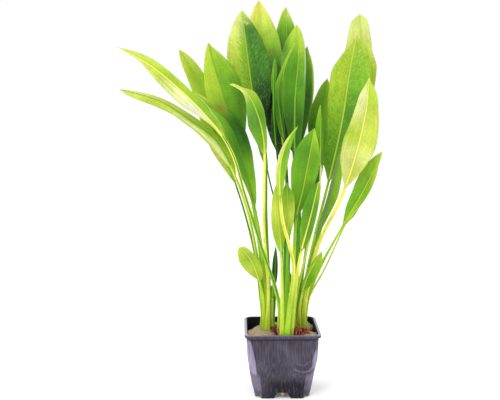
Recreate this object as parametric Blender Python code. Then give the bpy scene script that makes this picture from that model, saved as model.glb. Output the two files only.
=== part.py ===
# Amazon sword plant in a square nursery pot: pot, sand, three crowns and their leaves.
# Sizes below are in millimetres in the pot's own frame: X right, Y to the back, Z up, and the
# origin under the middle of the pot. The finished plant is then shifted so that the middle of
# its whole footprint is the world's origin.

import math
from collections import namedtuple

import bmesh
import bpy
from mathutils import Vector

MM = 0.001
CLEARANCE = 0.3             # gap between pieces that touch

# Pot
POT_HEIGHT = 80.0
RIM_HALF = 45.0             # half the width across the rolled rim
RIM_DROP = 4.2              # height of the rim's outer skirt
RIM_WALL = 1.1
RIM_EDGE = 0.5              # bevel along the rim's outer top edge
RIM_CORNER_GROWTH = 1.0     # how much larger each step outwards in the rim makes its corners
WALL = 1.1
INNER_CORNER_CUT = 1.0      # how much smaller the wall's corners are inside than outside
FOOT_WIDTH = 2.4            # width of the flat edge that the pot stands on
FOOT_CORNER_LIFT = 2.5      # the cut corners of the foot clear the table by this
FLOOR_UNDERSIDE = 7.4
FLOOR_THICKNESS = 1.2
ARCH_HEIGHT = 7.0
ARCH_FOOT_WIDTH = 21.0
ARCH_TOP_WIDTH = 13.0
DRAIN_HOLE_RADIUS = 4.0
DRAIN_HOLE_OFFSET = 21.0
DRAIN_HOLE_SIDES = 10
DRAIN_CUT_DEPTH = 6.0
CORNER_STEPS = 3            # facets in each corner of the pot

# The pot's outer wall from the foot up: height, half width, corner size, and how round the
# corner is, from 0 for a flat cut to 1 for an arc.
POT_WALL = (
    (0.0, 32.5, 8.0, 0.0),
    (FLOOR_UNDERSIDE, 33.6, 9.0, 0.0),
    (28.0, 37.7, 10.0, 0.3),
    (41.0, 39.9, 9.0, 0.6),
    (48.0, 41.1, 8.0, 1.0),
    (75.0, 42.3, 8.0, 1.0),
    (POT_HEIGHT, 42.5, 8.0, 1.0),
)

# Sand
SOIL_CELLS = 12             # squares across the sand's surface
SOIL_LEVEL = 75.0
SOIL_MOST = 78.2            # the sand stays under the rim
# Mounds and hollows of the sand: x, y, spread, height
SOIL_FORMS = (
    (-30, -16, 16, 2.2),
    (-24, 16, 10, 1.4),
    (30, -30, 14, 1.8),
    (34, 30, 7, 4.0),
    (-43, 27, 9, -13.0),
    (4, 50, 12, -6.0),
    (46, 30, 8, -12.0),
    (46, 4, 9, -9.0),
    (14, -12, 7, -1.6),
    (-5, -12, 6, -1.8),
)
SOIL_RIPPLE = 0.35

# Crowns: middle, and half widths of the ring that the stalks stand on
CROWNS = {
    "left": ((-17.0, 4.0), (5.7, 9.2)),
    "centre": ((3.0, -25.5), (7.4, 10.0)),
    "right": ((20.5, 9.0), (8.0, 11.0)),
}
CROWN_TOP = 76.0
CROWN_FOOT = 54.0
CROWN_MARGIN = 2.6          # how far a crown reaches past the stalks' ring
CROWN_SIDES = 14
# How a crown swells and tapers: share of its height from the top down, share of its width
CROWN_FORM = ((0.0, 0.93), (0.1, 1.0), (0.35, 1.0), (0.65, 0.78), (0.9, 0.45), (1.0, 0.2))
CROWN_LUMPS = 0.05
POCKET_CLEARANCE = 0.45     # between a crown and the pocket that it stands in

# Leaves
STALK_FOOT_RADIUS = 2.2
STALK_NECK_RADIUS = 1.9     # where the blade begins
STALK_SWELL = 0.5           # how much the stalk swells half way up
RIB_TIP_RADIUS = 0.35
STALK_RINGS = 5
BLADE_RINGS = (0.0, 0.08, 0.18, 0.3, 0.44, 0.58, 0.72, 0.85, 0.95)
BLADE_THICKNESS = 0.9
BLADE_FLAT_AT = 2.5         # a blade this many stalk radii wide on each side is fully flat
RIB_FACE_SHARE = 0.4        # how far the rib stands out on the upper face, of its radius
CURVE_STEPS = 24            # steps of the smooth midline between two waypoints
WIDEST_SHIFT = 0.88         # under 1, the blade is widest below its middle

# A blade's outline: an oval of one half width and bluntness of tip, or the widths to the left
# and right of its rib at each ring after the first.
Oval = namedtuple("Oval", "half blunt")
Sides = namedtuple("Sides", "left right")

# Each leaf: its crown, the stalk's bearing in degrees and share of the crown's ring, how stout
# the stalk is, which waypoint the blade begins at, its turn in degrees about the midline at the
# blade's foot and tip (0 shows its face to the front, 90 turns it to the left of its travel),
# the fold of its two halves in degrees (they droop under nought), its outline, and the
# waypoints of its midline above the stalk's foot.
Leaf = namedtuple("Leaf", "crown bearing ring stout start foot_turn tip_turn fold outline ways")
LEAVES = {
    "front_low_left": Leaf("left", 215, 1.0, 0.7, 1.0, 15, 5, 16,
        Sides((2.5, 6, 9.3, 12, 12.6, 12.2, 9, 5.3), (5, 8, 9.3, 9.8, 9, 8, 7.2, 5)),
        ((-22, -7, 114), (-27, -12, 137), (-37, -18, 164), (-51, -23, 181))),
    "left_curled": Leaf("left", 268, 1.0, 0.9, 2.6, 15, -50, 25,
        Sides((5, 9, 12.5, 14.5, 14.5, 11, 4.5, 1.5), (3.5, 4.5, 5.5, 7.5, 8.5, 7.5, 5, 2.5)),
        ((-16, -9, 126), (-22, -20, 201), (-22, -27, 254), (-23, -34, 307),
         (-32, -38, 341), (-44, -41, 361), (-62, -43, 370))),
    "left_low": Leaf("left", 178, 1.0, 1.0, 2.4, -45, -40, -18,
        Sides((4, 7.5, 10, 10.5, 11.3, 11, 7.8, 4.4), (3.5, 7, 11, 13, 10.5, 7.3, 5.5, 3)),
        ((-23, 1, 112), (-30, -9, 169), (-46, -20, 239), (-77, -32, 305),
         (-107, -38, 329), (-140, -44, 351), (-184, -50, 364))),
    "left_behind": Leaf("left", 138, 1.0, 0.8, 2.0, -15, -20, 14,
        Sides((5, 9, 12, 12.5, 12.5, 12.5, 10, 4.5), (5.9, 10.5, 13, 14.3, 13.5, 11.5, 9, 5)),
        ((-25, 7, 110), (-33, 12, 171), (-55, 22, 250), (-82, 30, 312),
         (-101, 38, 375), (-124, 46, 413))),
    "left_broad": Leaf("left", 0, 0.0, 1.0, 1.25, -10, -50, 16,
        Sides((2.5, 5, 9, 13, 16.5, 14.5, 5.5, 1.5), (3.5, 7, 10.5, 14, 15, 11.6, 6.5, 3.3)),
        ((-18, 1, 118), (-28, -6, 201), (-43, -11, 268), (-62, -14, 322),
         (-84, -14, 345), (-106, -10, 362))),
    "left_tall": Leaf("left", 92, 1.0, 1.0, 2.2, -22, -10, 12,
        Sides((9, 16, 21, 23.5, 21.5, 16.5, 10, 4.3), (8, 14.5, 19.7, 22.6, 23.6, 20.5, 13, 4)),
        ((-21, 11, 116), (-30, 9, 202), (-46, 6, 281), (-65, 4, 346),
         (-80, 6, 392), (-87, 10, 419))),
    "small_left": Leaf("left", 318, 1.0, 0.6, 0.3, 10, 10, 20, Oval(4.0, 0.30),
        ((-11, -1, 105), (-11, 0, 131))),
    "small_back": Leaf("left", 2, 1.0, 0.6, 1.0, 20, 20, 20, Oval(4.0, 0.20),
        ((-8, 10, 109), (-7, 14, 143), (-6, 19, 175))),
    "back_left": Leaf("left", 46, 1.0, 1.0, 2.3, 12, 2, 14,
        Sides((4, 10, 18, 24, 25.5, 22.5, 15.5, 7), (8.5, 18, 24.5, 28, 26.5, 21, 13, 5)),
        ((-14, 15, 114), (-18, 20, 207), (-20, 26, 292), (-34, 30, 358),
         (-42, 36, 417), (-47, 46, 460))),
    "front_narrow": Leaf("centre", 280, 1.0, 1.1, 2.2, 200, 215, 20,
        Sides((1.2, 2, 3.5, 5.3, 6.2, 5.7, 3.7, 1), (2.5, 4.5, 5.9, 6.4, 6.2, 4.5, 2.5, 1)),
        ((7, -37, 109), (11, -46, 164), (-3, -58, 224), (-5, -68, 281),
         (2, -74, 307), (13, -80, 325))),
    "front_left": Leaf("centre", 240, 1.0, 0.9, 0.9, 170, 150, 22, Oval(8.5, 0.35),
        ((-1, -36, 115), (-3, -45, 179), (-8, -52, 235), (-9, -56, 259))),
    "left_long": Leaf("centre", 200, 1.0, 1.2, 3.1, -10, -15, -20,
        Sides((1.5, 3, 7.5, 11.5, 10.8, 7, 1.5, 0.6), (4.5, 7.5, 8.5, 8.7, 9, 9, 7, 3)),
        ((-6, -31, 125), (-27, -37, 188), (-44, -46, 243), (-61, -56, 298),
         (-88, -60, 335), (-119, -61, 366), (-150, -60, 391), (-185, -56, 410))),
    "front_right": Leaf("centre", 318, 1.0, 1.0, 1.3, 15, 20, 20, Oval(11.5, 0.35),
        ((12, -32, 107), (19, -38, 170), (31, -46, 222), (39, -50, 261))),
    "front_pale": Leaf("centre", 270, 0.35, 0.9, 1.2, 10, 0, 20,
        Sides((1, 2.5, 4.3, 6.3, 7.6, 7.5, 6, 2.8), (2.5, 4.2, 6, 7.5, 8.3, 8, 5.3, 1.8)),
        ((4, -28, 112), (5, -34, 177), (5, -41, 227), (3, -46, 260))),
    "front_broad": Leaf("centre", 0, 1.0, 1.0, 1.0, 10, 20, 14,
        Sides((3, 8, 12.5, 16, 18.3, 17.8, 12.5, 5), (2.5, 6, 9.5, 12.3, 14, 13, 8.5, 2.8)),
        ((13, -22, 117), (15, -26, 211), (23, -34, 252), (30, -42, 294),
         (34, -46, 321))),
    "small_centre": Leaf("centre", 45, 1.0, 0.7, 0.2, 0, 0, 20, Oval(5.0, 0.30),
        ((9, -15, 116), (8, -11, 151))),
    "left_shade": Leaf("centre", 160, 1.0, 0.9, 2.1, -15, -20, 18, Oval(8.5, 0.30),
        ((-1, -17, 116), (-1, -7, 198), (-16, -12, 262), (-26, -20, 314),
         (-38, -23, 349))),
    "back_slim_left": Leaf("centre", 90, 0.35, 0.8, 2.0, 50, 60, 28, Oval(7.5, 0.20),
        ((2, -22, 117), (2, -15, 206), (-7, -12, 294), (-11, -15, 358),
         (-10, -16, 400))),
    "back_slim_right": Leaf("centre", 82, 1.0, 0.9, 2.0, 40, -30, 26, Oval(9.5, 0.30),
        ((7, -9, 115), (8, -4, 210), (3, -2, 299), (-5, -4, 361),
         (4, -6, 398), (14, -6, 418))),
    "back_peak": Leaf("centre", 122, 1.0, 0.9, 2.2, 24, 18, 12,
        Sides((6, 12, 18, 22, 24, 24, 17, 8), (8, 15, 20, 22, 22.5, 22, 15, 6)),
        ((1, -8, 114), (6, 12, 184), (6, 32, 273), (-7, 48, 358), (-19, 60, 419),
         (-26, 74, 475))),
    "right_slim": Leaf("right", 240, 1.0, 0.8, 2.6, 50, 60, 25, Oval(8.5, 0.30),
        ((16, -6, 107), (30, -4, 174), (44, 0, 234), (46, -1, 293),
         (45, -2, 347))),
    "small_right": Leaf("right", 277, 1.0, 0.7, 0.4, 25, 10, 18,
        Sides((2, 3.4, 3.4, 3.4, 3.2, 2.9, 1.9, 0.8), (4, 7.2, 9.4, 10.7, 10.8, 9.3, 7, 2.5)),
        ((22, -7, 107), (31, -14, 145), (46, -22, 176))),
    "right_folded": Leaf("right", 344, 1.0, 0.9, 1.1, 25, 35, 25,
        Sides((4, 6, 7.5, 8.5, 8, 6.5, 4, 2), (2, 3.5, 6, 9.5, 12.5, 12, 7.5, 3)),
        ((29, 4, 112), (38, -2, 174), (55, -13, 233), (68, -22, 296))),
    "right_pale": Leaf("right", 314, 1.0, 1.3, 2.2, 15, 10, 14,
        Sides((4.5, 11, 17, 18.5, 15.5, 13, 9.3, 2.5), (4, 10, 16, 20.5, 18.5, 14.5, 10.5, 4)),
        ((28, -3, 106), (42, -14, 179), (66, -31, 238), (80, -42, 284),
         (92, -46, 341), (95, -44, 378))),
    "right_low": Leaf("right", 12, 1.0, 1.0, 2.0, 20, 35, 20,
        Sides((2.5, 6, 9.5, 11.5, 13, 12.5, 9, 4), (3, 4.5, 6, 7.7, 8.5, 7.5, 3.5, 1.5)),
        ((33, 8, 111), (46, -4, 152), (69, -20, 202), (93, -36, 250),
         (111, -50, 295))),
    "right_low_behind": Leaf("right", 40, 1.0, 0.9, 2.1, 30, 40, 22, Oval(9.0, 0.30),
        ((34, 15, 109), (54, 14, 148), (74, 8, 196), (101, -2, 258))),
    "right_broad": Leaf("right", 300, 0.3, 1.0, 2.1, 5, 10, 12,
        Sides((8, 13.5, 17, 19.5, 21.5, 22, 13.5, 3.5), (5, 10, 17, 23.5, 28, 28, 21.5, 11)),
        ((26, 9, 109), (40, 12, 183), (57, 10, 256), (71, 9, 322), (81, 14, 387),
         (89, 22, 428))),
    "right_peak": Leaf("right", 72, 1.0, 1.0, 2.4, 25, 15, 14,
        Sides((8, 15.5, 22, 26, 26, 20.5, 15.5, 5.5), (7.4, 11.6, 17.5, 23.5, 22.5, 14, 10.5, 6)),
        ((29, 22, 109), (48, 33, 186), (72, 46, 265), (92, 54, 346),
         (102, 64, 416), (100, 74, 458))),
    "right_shade": Leaf("right", 90, 0.4, 0.9, 2.0, 12, 20, 14, Oval(16.0, 0.20),
        ((23, 16, 109), (34, 29, 186), (43.5, 38, 266), (50, 42, 330),
         (58, 48, 378))),
    "back_centre": Leaf("right", 200, 1.0, 1.0, 2.1, 12, 18, 12,
        Sides((4, 8, 12.5, 16.5, 18.5, 17.5, 11.5, 4.5), (6, 9.5, 11.5, 12, 11, 9.5, 8, 5)),
        ((16, 5, 113), (20, 7, 196), (16, 10, 275), (16, 12, 352),
         (20, 16, 405), (18, 24, 441))),
    "back_right": Leaf("right", 108, 1.0, 0.9, 2.15, -24, -20, 12,
        Sides((4, 7.5, 9.5, 10.5, 10.5, 9.2, 6.8, 3.6), (4, 6.5, 8.5, 10.5, 11, 10, 7, 2.5)),
        ((20, 24, 108), (24, 31, 193), (23, 33, 285), (29, 34, 358),
         (32, 40, 417))),
    "back_high": Leaf("right", 155, 1.0, 0.9, 2.2, -22, -10, 12,
        Sides((6, 12, 17.5, 21, 22, 20, 12.5, 6), (6.8, 12.5, 16.5, 17.5, 17, 15.5, 11, 4.5)),
        ((15, 16, 111), (18, 30, 199), (17, 48, 284), (11, 66, 364), (10, 80, 420),
         (9, 95, 469))),
}


def clear_scene():
    for old in list(bpy.data.objects):
        bpy.data.objects.remove(old)


def material(name, colour, roughness):
    made = bpy.data.materials.new(name)
    made.use_nodes = True
    shader = made.node_tree.nodes["Principled BSDF"]
    shader.inputs["Base Color"].default_value = (*colour, 1.0)
    shader.inputs["Roughness"].default_value = roughness
    shader.inputs["Metallic"].default_value = 0.0
    made.diffuse_color = (*colour, 1.0)
    return made


def make_object(name, bm, finish, parent, smooth_angle=40):
    """One object from a finished bmesh in millimetres."""
    bmesh.ops.scale(bm, verts=bm.verts, vec=(MM, MM, MM))
    bmesh.ops.recalc_face_normals(bm, faces=bm.faces)
    mesh = bpy.data.meshes.new(name)
    bm.to_mesh(mesh)
    bm.free()
    mesh.shade_smooth()
    mesh.set_sharp_from_angle(angle=math.radians(smooth_angle))
    mesh.materials.append(finish)
    made = bpy.data.objects.new(name, mesh)
    bpy.context.scene.collection.objects.link(made)
    made.parent = parent
    return made


def hide_cutter(cutter):
    cutter.hide_render = True
    cutter.display_type = "WIRE"


def cut(target, cutter):
    hide_cutter(cutter)
    boolean = target.modifiers.new("cut by " + cutter.name, "BOOLEAN")
    boolean.operation = "DIFFERENCE"
    boolean.solver = "EXACT"
    boolean.object = cutter


def skin(bm, rings):
    """Quads between neighbouring rings of equal length."""
    for lower, upper in zip(rings, rings[1:]):
        for i in range(len(lower)):
            j = (i + 1) % len(lower)
            bm.faces.new((lower[i], lower[j], upper[j], upper[i]))


def add_ring(bm, points):
    return [bm.verts.new(point) for point in points]


# Rounded square outlines of the pot


def corner_pull(across, roundness):
    """Where a point of a square corner goes when the corner is rounded or cut flat."""
    reach = max(across)
    if min(across) <= 0:
        return across
    arc = math.hypot(*across)
    chamfer = across[0] + across[1]
    share = roundness * reach / arc + (1 - roundness) * reach / chamfer
    return (across[0] * share, across[1] * share)


def outline_point(u, v, half, corner, roundness):
    """The point of a rounded square for a point u, v of the square from -1 to 1."""
    start = 1 - corner / half
    across = [max(0.0, abs(c) - start) / (1 - start) for c in (u, v)]
    pulled = corner_pull(across, roundness)
    inner = [min(abs(c), start) + p * (1 - start) for c, p in zip((u, v), pulled)]
    return math.copysign(inner[0] * half, u), math.copysign(inner[1] * half, v)


def corner_outline(half, corner, roundness, z, lift=0.0):
    """The corners of a rounded square, in order round the pot."""
    points = []
    start = 1 - corner / half
    for quarter in range(4):
        turn = math.pi / 2 * quarter
        for step in range(CORNER_STEPS + 1):
            angle = math.pi / 2 * step / CORNER_STEPS
            reach = max(math.cos(angle), math.sin(angle))
            across = (math.cos(angle) / reach, math.sin(angle) / reach)
            u, v = (start + a * (1 - start) for a in across)
            x, y = outline_point(u, v, half, corner, roundness)
            middle = math.sin(2 * angle)
            points.append((x * math.cos(turn) - y * math.sin(turn),
                           x * math.sin(turn) + y * math.cos(turn), z + lift * middle))
    return points


def wall_at(z):
    """Half width, corner size and roundness of the pot's outer wall at a height."""
    for low, high in zip(POT_WALL, POT_WALL[1:]):
        if z <= high[0]:
            t = (z - low[0]) / (high[0] - low[0])
            return [a + (b - a) * t for a, b in zip(low[1:], high[1:])]
    return list(POT_WALL[-1][1:])


def pot_profile():
    """The closed section of the pot's wall, from under the floor round to the floor's top."""
    floor_top = FLOOR_UNDERSIDE + FLOOR_THICKNESS
    foot_half, foot_corner, foot_round = wall_at(0.0)
    under_half, under_corner, under_round = wall_at(FLOOR_UNDERSIDE)
    steps = [
        (under_half - WALL, under_corner, under_round, FLOOR_UNDERSIDE, 0.0),
        (foot_half - FOOT_WIDTH, foot_corner, foot_round, 0.0, FOOT_CORNER_LIFT),
        (foot_half, foot_corner, foot_round, 0.0, FOOT_CORNER_LIFT),
    ]
    rim_under = POT_HEIGHT - RIM_WALL
    steps += [(half, corner, roundness, z, 0.0)
              for z, half, corner, roundness in POT_WALL[1:-1]]
    top_half, corner, roundness = wall_at(rim_under)
    rim_inner_corner = corner + RIM_CORNER_GROWTH
    rim_corner = rim_inner_corner + RIM_CORNER_GROWTH
    steps += [
        (top_half, corner, roundness, rim_under, 0.0),
        (RIM_HALF - RIM_WALL, rim_inner_corner, 1.0, rim_under, 0.0),
        (RIM_HALF - RIM_WALL, rim_inner_corner, 1.0, POT_HEIGHT - RIM_DROP, 0.0),
        (RIM_HALF, rim_corner, 1.0, POT_HEIGHT - RIM_DROP, 0.0),
        (RIM_HALF, rim_corner, 1.0, POT_HEIGHT - RIM_EDGE, 0.0),
        (RIM_HALF - RIM_EDGE, rim_corner, 1.0, POT_HEIGHT, 0.0),
        (top_half - WALL, corner - INNER_CORNER_CUT, 1.0, POT_HEIGHT, 0.0),
    ]
    steps += [(half - WALL, corner - INNER_CORNER_CUT, roundness, z, 0.0)
              for z, half, corner, roundness in reversed(POT_WALL[2:-1])]
    in_half, in_corner, in_round = wall_at(floor_top)
    steps.append((in_half - WALL, in_corner - INNER_CORNER_CUT, in_round, floor_top, 0.0))
    return steps


def arch_cutter(parent, name, along_x):
    """A bar with sloping sides that cuts two opposite drain arches."""
    bm = bmesh.new()
    reach = RIM_HALF
    below = -1.0
    slope = (ARCH_FOOT_WIDTH - ARCH_TOP_WIDTH) / 2 / ARCH_HEIGHT
    foot = ARCH_FOOT_WIDTH / 2 - slope * below
    section = ((-foot, below), (foot, below), (ARCH_TOP_WIDTH / 2, ARCH_HEIGHT),
               (-ARCH_TOP_WIDTH / 2, ARCH_HEIGHT))
    ends = []
    for far in (-reach, reach):
        points = [(far, a, z) if along_x else (a, far, z) for a, z in section]
        ends.append(add_ring(bm, points))
    skin(bm, ends)
    bm.faces.new(ends[0])
    bm.faces.new(ends[1])
    return make_object(name, bm, FINISHES["pot"], parent)


def drain_cutter(parent):
    bm = bmesh.new()
    middles = [(0.0, 0.0)]
    middles += [(DRAIN_HOLE_OFFSET * math.cos(a), DRAIN_HOLE_OFFSET * math.sin(a))
                for a in (0, math.pi / 2, math.pi, 3 * math.pi / 2)]
    for x, y in middles:
        made = bmesh.ops.create_cone(bm, cap_ends=True, segments=DRAIN_HOLE_SIDES,
                                     depth=DRAIN_CUT_DEPTH, radius1=DRAIN_HOLE_RADIUS,
                                     radius2=DRAIN_HOLE_RADIUS)
        bmesh.ops.translate(bm, verts=made["verts"], vec=(x, y, FLOOR_UNDERSIDE))
    return make_object("drain_hole_cutter", bm, FINISHES["pot"], parent)


def make_pot(parent):
    bm = bmesh.new()
    rings = [add_ring(bm, corner_outline(half, corner, roundness, z, lift))
             for half, corner, roundness, z, lift in pot_profile()]
    skin(bm, rings)
    bm.faces.new(rings[0])
    bm.faces.new(rings[-1])
    pot = make_object("pot", bm, FINISHES["pot"], parent)
    cut(pot, arch_cutter(parent, "arch_cutter_x", True))
    cut(pot, arch_cutter(parent, "arch_cutter_y", False))
    cut(pot, drain_cutter(parent))
    return pot


# Sand and crowns


def soil_height(x, y):
    z = SOIL_LEVEL
    for form_x, form_y, spread, height in SOIL_FORMS:
        away = ((x - form_x) ** 2 + (y - form_y) ** 2) / spread ** 2
        z += height * math.exp(-away)
    z += SOIL_RIPPLE * (math.sin(0.31 * x + 0.9) * math.cos(0.27 * y - 0.4)
                        + math.sin(0.17 * x - 0.43 * y))
    return min(z, SOIL_MOST)


def soil_edge(z):
    """The sand's outline just inside the pot's wall at a height."""
    half, corner, roundness = wall_at(z)
    return half - WALL - CLEARANCE, corner - INNER_CORNER_CUT, roundness


def square_walk(cells):
    """The grid steps along the edge of a square, once round."""
    walk = [(i, 0) for i in range(cells)]
    walk += [(cells, i) for i in range(cells)]
    walk += [(cells - i, cells) for i in range(cells)]
    walk += [(0, cells - i) for i in range(cells)]
    return walk


def make_soil(parent):
    bm = bmesh.new()
    top_edge = soil_edge(SOIL_LEVEL)
    grid = {}
    for i in range(SOIL_CELLS + 1):
        for j in range(SOIL_CELLS + 1):
            u = 2 * i / SOIL_CELLS - 1
            v = 2 * j / SOIL_CELLS - 1
            x, y = outline_point(u, v, *top_edge)
            z = soil_height(x, y)
            if max(abs(u), abs(v)) == 1:
                x, y = outline_point(u, v, *soil_edge(z))
            grid[i, j] = bm.verts.new((x, y, z))
    for i in range(SOIL_CELLS):
        for j in range(SOIL_CELLS):
            bm.faces.new((grid[i, j], grid[i + 1, j], grid[i + 1, j + 1], grid[i, j + 1]))
    walk = square_walk(SOIL_CELLS)
    floor = FLOOR_UNDERSIDE + FLOOR_THICKNESS + CLEARANCE
    rings = [[grid[step] for step in walk]]
    for z in (POT_WALL[4][0], POT_WALL[3][0], POT_WALL[2][0], floor):
        half, corner, roundness = soil_edge(z)
        rings.append(add_ring(bm, [
            (*outline_point(2 * i / SOIL_CELLS - 1, 2 * j / SOIL_CELLS - 1,
                            half, corner, roundness), z) for i, j in walk]))
    skin(bm, rings)
    bm.faces.new(rings[-1])
    return make_object("soil", bm, FINISHES["soil"], parent, 60)


def crown_solid(name, parent, crown, grow=0.0):
    """A crown, or the pocket that it stands in when grow is over nought."""
    (x, y), (ring_x, ring_y) = CROWNS[crown]
    bm = bmesh.new()
    rings = []
    height = CROWN_TOP - CROWN_FOOT
    for share, width in CROWN_FORM:
        z = CROWN_TOP - share * height
        points = []
        for i in range(CROWN_SIDES):
            angle = 2 * math.pi * i / CROWN_SIDES
            lump = width * (1 + CROWN_LUMPS * math.sin(3 * angle + 9 * share + ring_y))
            points.append((x + ((ring_x + CROWN_MARGIN) * lump + grow) * math.cos(angle),
                           y + ((ring_y + CROWN_MARGIN) * lump + grow) * math.sin(angle),
                           z - grow if share == 1.0 else z))
        rings.append(points)
    if grow:
        rings[0] = [(px, py, pz + 3 * grow) for px, py, pz in rings[1]]
        rings.insert(0, [(px, py, POT_HEIGHT) for px, py, pz in rings[0]])
    rings = [add_ring(bm, points) for points in rings]
    skin(bm, rings)
    bm.faces.new(rings[0])
    bm.faces.new(rings[-1])
    return make_object(name, bm, FINISHES["crown"], parent, 60)


# Leaves


def smooth_line(waypoints):
    """Points along a smooth curve through the waypoints, and each point's waypoint number."""
    points = [Vector(p) for p in waypoints]
    ends = [points[0] * 2 - points[1], *points, points[-1] * 2 - points[-2]]
    line = []
    numbers = []
    for k in range(len(points) - 1):
        a, b, c, d = ends[k:k + 4]
        knots = [0.0]
        for first, second in ((a, b), (b, c), (c, d)):
            knots.append(knots[-1] + math.sqrt((second - first).length))
        steps = CURVE_STEPS if k < len(points) - 2 else CURVE_STEPS + 1
        for step in range(steps):
            share = step / CURVE_STEPS
            line.append(spline_point((a, b, c, d), knots, share))
            numbers.append(k + share)
    return line, numbers


def spline_point(points, knots, share):
    """The centripetal Catmull-Rom curve between its two middle points."""
    t = knots[1] + (knots[2] - knots[1]) * share
    level = list(points)
    for width in (1, 2, 3):
        merged = []
        for i in range(len(level) - 1):
            low, high = (knots[1], knots[2]) if width == 3 else (knots[i], knots[i + width])
            merged.append(level[i] * ((high - t) / (high - low))
                          + level[i + 1] * ((t - low) / (high - low)))
        level = merged
    return level[0]


def lengths_along(line):
    total = [0.0]
    for first, second in zip(line, line[1:]):
        total.append(total[-1] + (second - first).length)
    return total


def at_length(line, total, wanted):
    """The point and the direction of the line at a length."""
    for k in range(1, len(line)):
        if wanted <= total[k] or k == len(line) - 1:
            share = (wanted - total[k - 1]) / (total[k] - total[k - 1])
            direction = (line[k] - line[k - 1]).normalized()
            return line[k - 1].lerp(line[k], share), direction
    return line[-1], (line[-1] - line[-2]).normalized()


def blade_widths(outline, number):
    """How far the blade reaches to the left and right of its rib at one of its rings."""
    if isinstance(outline, Sides):
        return (0.0, *outline.left)[number], (0.0, *outline.right)[number]
    u = BLADE_RINGS[number]
    width = outline.half * math.sin(math.pi * u ** WIDEST_SHIFT) ** (1 - outline.blunt * u)
    return width, width


def leaf_ring(middle, direction, turn, fold, widths, stalk):
    """Eight points round the stalk or blade. The halves of a blade fold up along the rib."""
    front = Vector((0, -1, 0))
    face = (front - direction * front.dot(direction)).normalized()
    left = face.cross(direction)
    normal = face * math.cos(turn) + left * math.sin(turn)
    side = direction.cross(normal)
    flat = min(1.0, max(0.0, (sum(widths) / 2 / stalk - 1) / (BLADE_FLAT_AT - 1)))
    flat = flat * flat * (3 - 2 * flat)
    left_half, right_half = (max(width, stalk) for width in widths)
    ring = []
    for k, (across, up) in enumerate(((-1, 0), (-0.5, 1), (0, 1), (0.5, 1),
                                      (1, 0), (0.5, -1), (0, -1), (-0.5, -1))):
        angle = math.pi - math.pi / 4 * k
        round_x = stalk * math.cos(angle)
        round_y = stalk * math.sin(angle)
        thick = BLADE_THICKNESS / 2
        if across == 0:
            thick = max(thick, stalk if up < 0 else stalk * RIB_FACE_SHARE)
        half = right_half if across > 0 else left_half
        blade_x = across * half * math.cos(fold)
        blade_y = abs(across) * half * math.sin(fold) + up * thick
        x = round_x + (blade_x - round_x) * flat
        y = round_y + (blade_y - round_y) * flat
        ring.append(middle + side * x + normal * y)
    return ring


def stalk_foot(crown, bearing, share):
    """Where a stalk stands on its crown."""
    (x, y), (ring_x, ring_y) = CROWNS[crown]
    angle = math.radians(bearing)
    return (x + share * ring_x * math.cos(angle), y + share * ring_y * math.sin(angle),
            CROWN_TOP + CLEARANCE)


def stalk_radius(share, stout):
    """Half the stalk's width, from its foot at 0 to the blade's foot at 1."""
    plain = STALK_FOOT_RADIUS + (STALK_NECK_RADIUS - STALK_FOOT_RADIUS) * share
    plain += STALK_SWELL * math.sin(math.pi * share)
    return plain * (min(stout, 1.0) * (1 - share) + stout * share)


def make_leaf(name, parent):
    leaf = LEAVES[name]
    foot = stalk_foot(leaf.crown, leaf.bearing, leaf.ring)
    line, numbers = smooth_line((foot, *leaf.ways))
    total = lengths_along(line)
    blade_foot = next(t for t, number in zip(total, numbers) if number >= leaf.start + 1)
    blade_length = total[-1] - blade_foot
    neck = stalk_radius(1.0, leaf.stout)
    bm = bmesh.new()
    rings = []
    for k in range(STALK_RINGS):
        share = k / STALK_RINGS
        middle, direction = at_length(line, total, blade_foot * share)
        if k == 0:
            direction = Vector((0, 0, 1))
        rings.append(leaf_ring(middle, direction, math.radians(leaf.foot_turn), 0.0, (0.0, 0.0),
                               stalk_radius(share, leaf.stout)))
    for number, u in enumerate(BLADE_RINGS):
        middle, direction = at_length(line, total, blade_foot + blade_length * u)
        turn = leaf.foot_turn + (leaf.tip_turn - leaf.foot_turn) * u
        rings.append(leaf_ring(middle, direction, math.radians(turn), math.radians(leaf.fold),
                               blade_widths(leaf.outline, number),
                               neck + (RIB_TIP_RADIUS - neck) * u))
    rings = [add_ring(bm, ring) for ring in rings]
    skin(bm, rings)
    bm.faces.new(rings[0])
    tip = bm.verts.new(line[-1])
    for i in range(len(rings[-1])):
        bm.faces.new((rings[-1][i], rings[-1][(i + 1) % len(rings[-1])], tip))
    return make_object("leaf_" + name, bm, FINISHES["leaf"], parent, 50)


def centre_footprint(origin):
    """Shifts the whole plant so that the middle of its footprint is at the world's origin."""
    low = Vector((math.inf, math.inf, math.inf))
    high = -low
    for thing in bpy.data.objects:
        if thing.type != "MESH" or thing.hide_render:
            continue
        for corner in thing.bound_box:
            low = Vector(map(min, low, corner))
            high = Vector(map(max, high, corner))
    origin.location = (-(low.x + high.x) / 2, -(low.y + high.y) / 2, -low.z)


clear_scene()
FINISHES = {
    "pot": material("pot plastic", (0.10, 0.09, 0.12), 0.45),
    "soil": material("beige sand", (0.52, 0.42, 0.29), 0.95),
    "crown": material("rootstock", (0.42, 0.40, 0.14), 0.7),
    "leaf": material("sword leaf", (0.36, 0.55, 0.10), 0.4),
}
origin = bpy.data.objects.new("plant_origin", None)
bpy.context.scene.collection.objects.link(origin)
make_pot(origin)
soil = make_soil(origin)
for crown in CROWNS:
    crown_solid("crown_" + crown, origin, crown)
    cut(soil, crown_solid("crown_pocket_" + crown, origin, crown, POCKET_CLEARANCE))
for leaf in LEAVES:
    make_leaf(leaf, origin)
centre_footprint(origin)
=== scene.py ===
import math
import random
from collections import namedtuple

import bmesh
import bpy
import numpy as np
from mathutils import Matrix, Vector, noise


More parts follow.
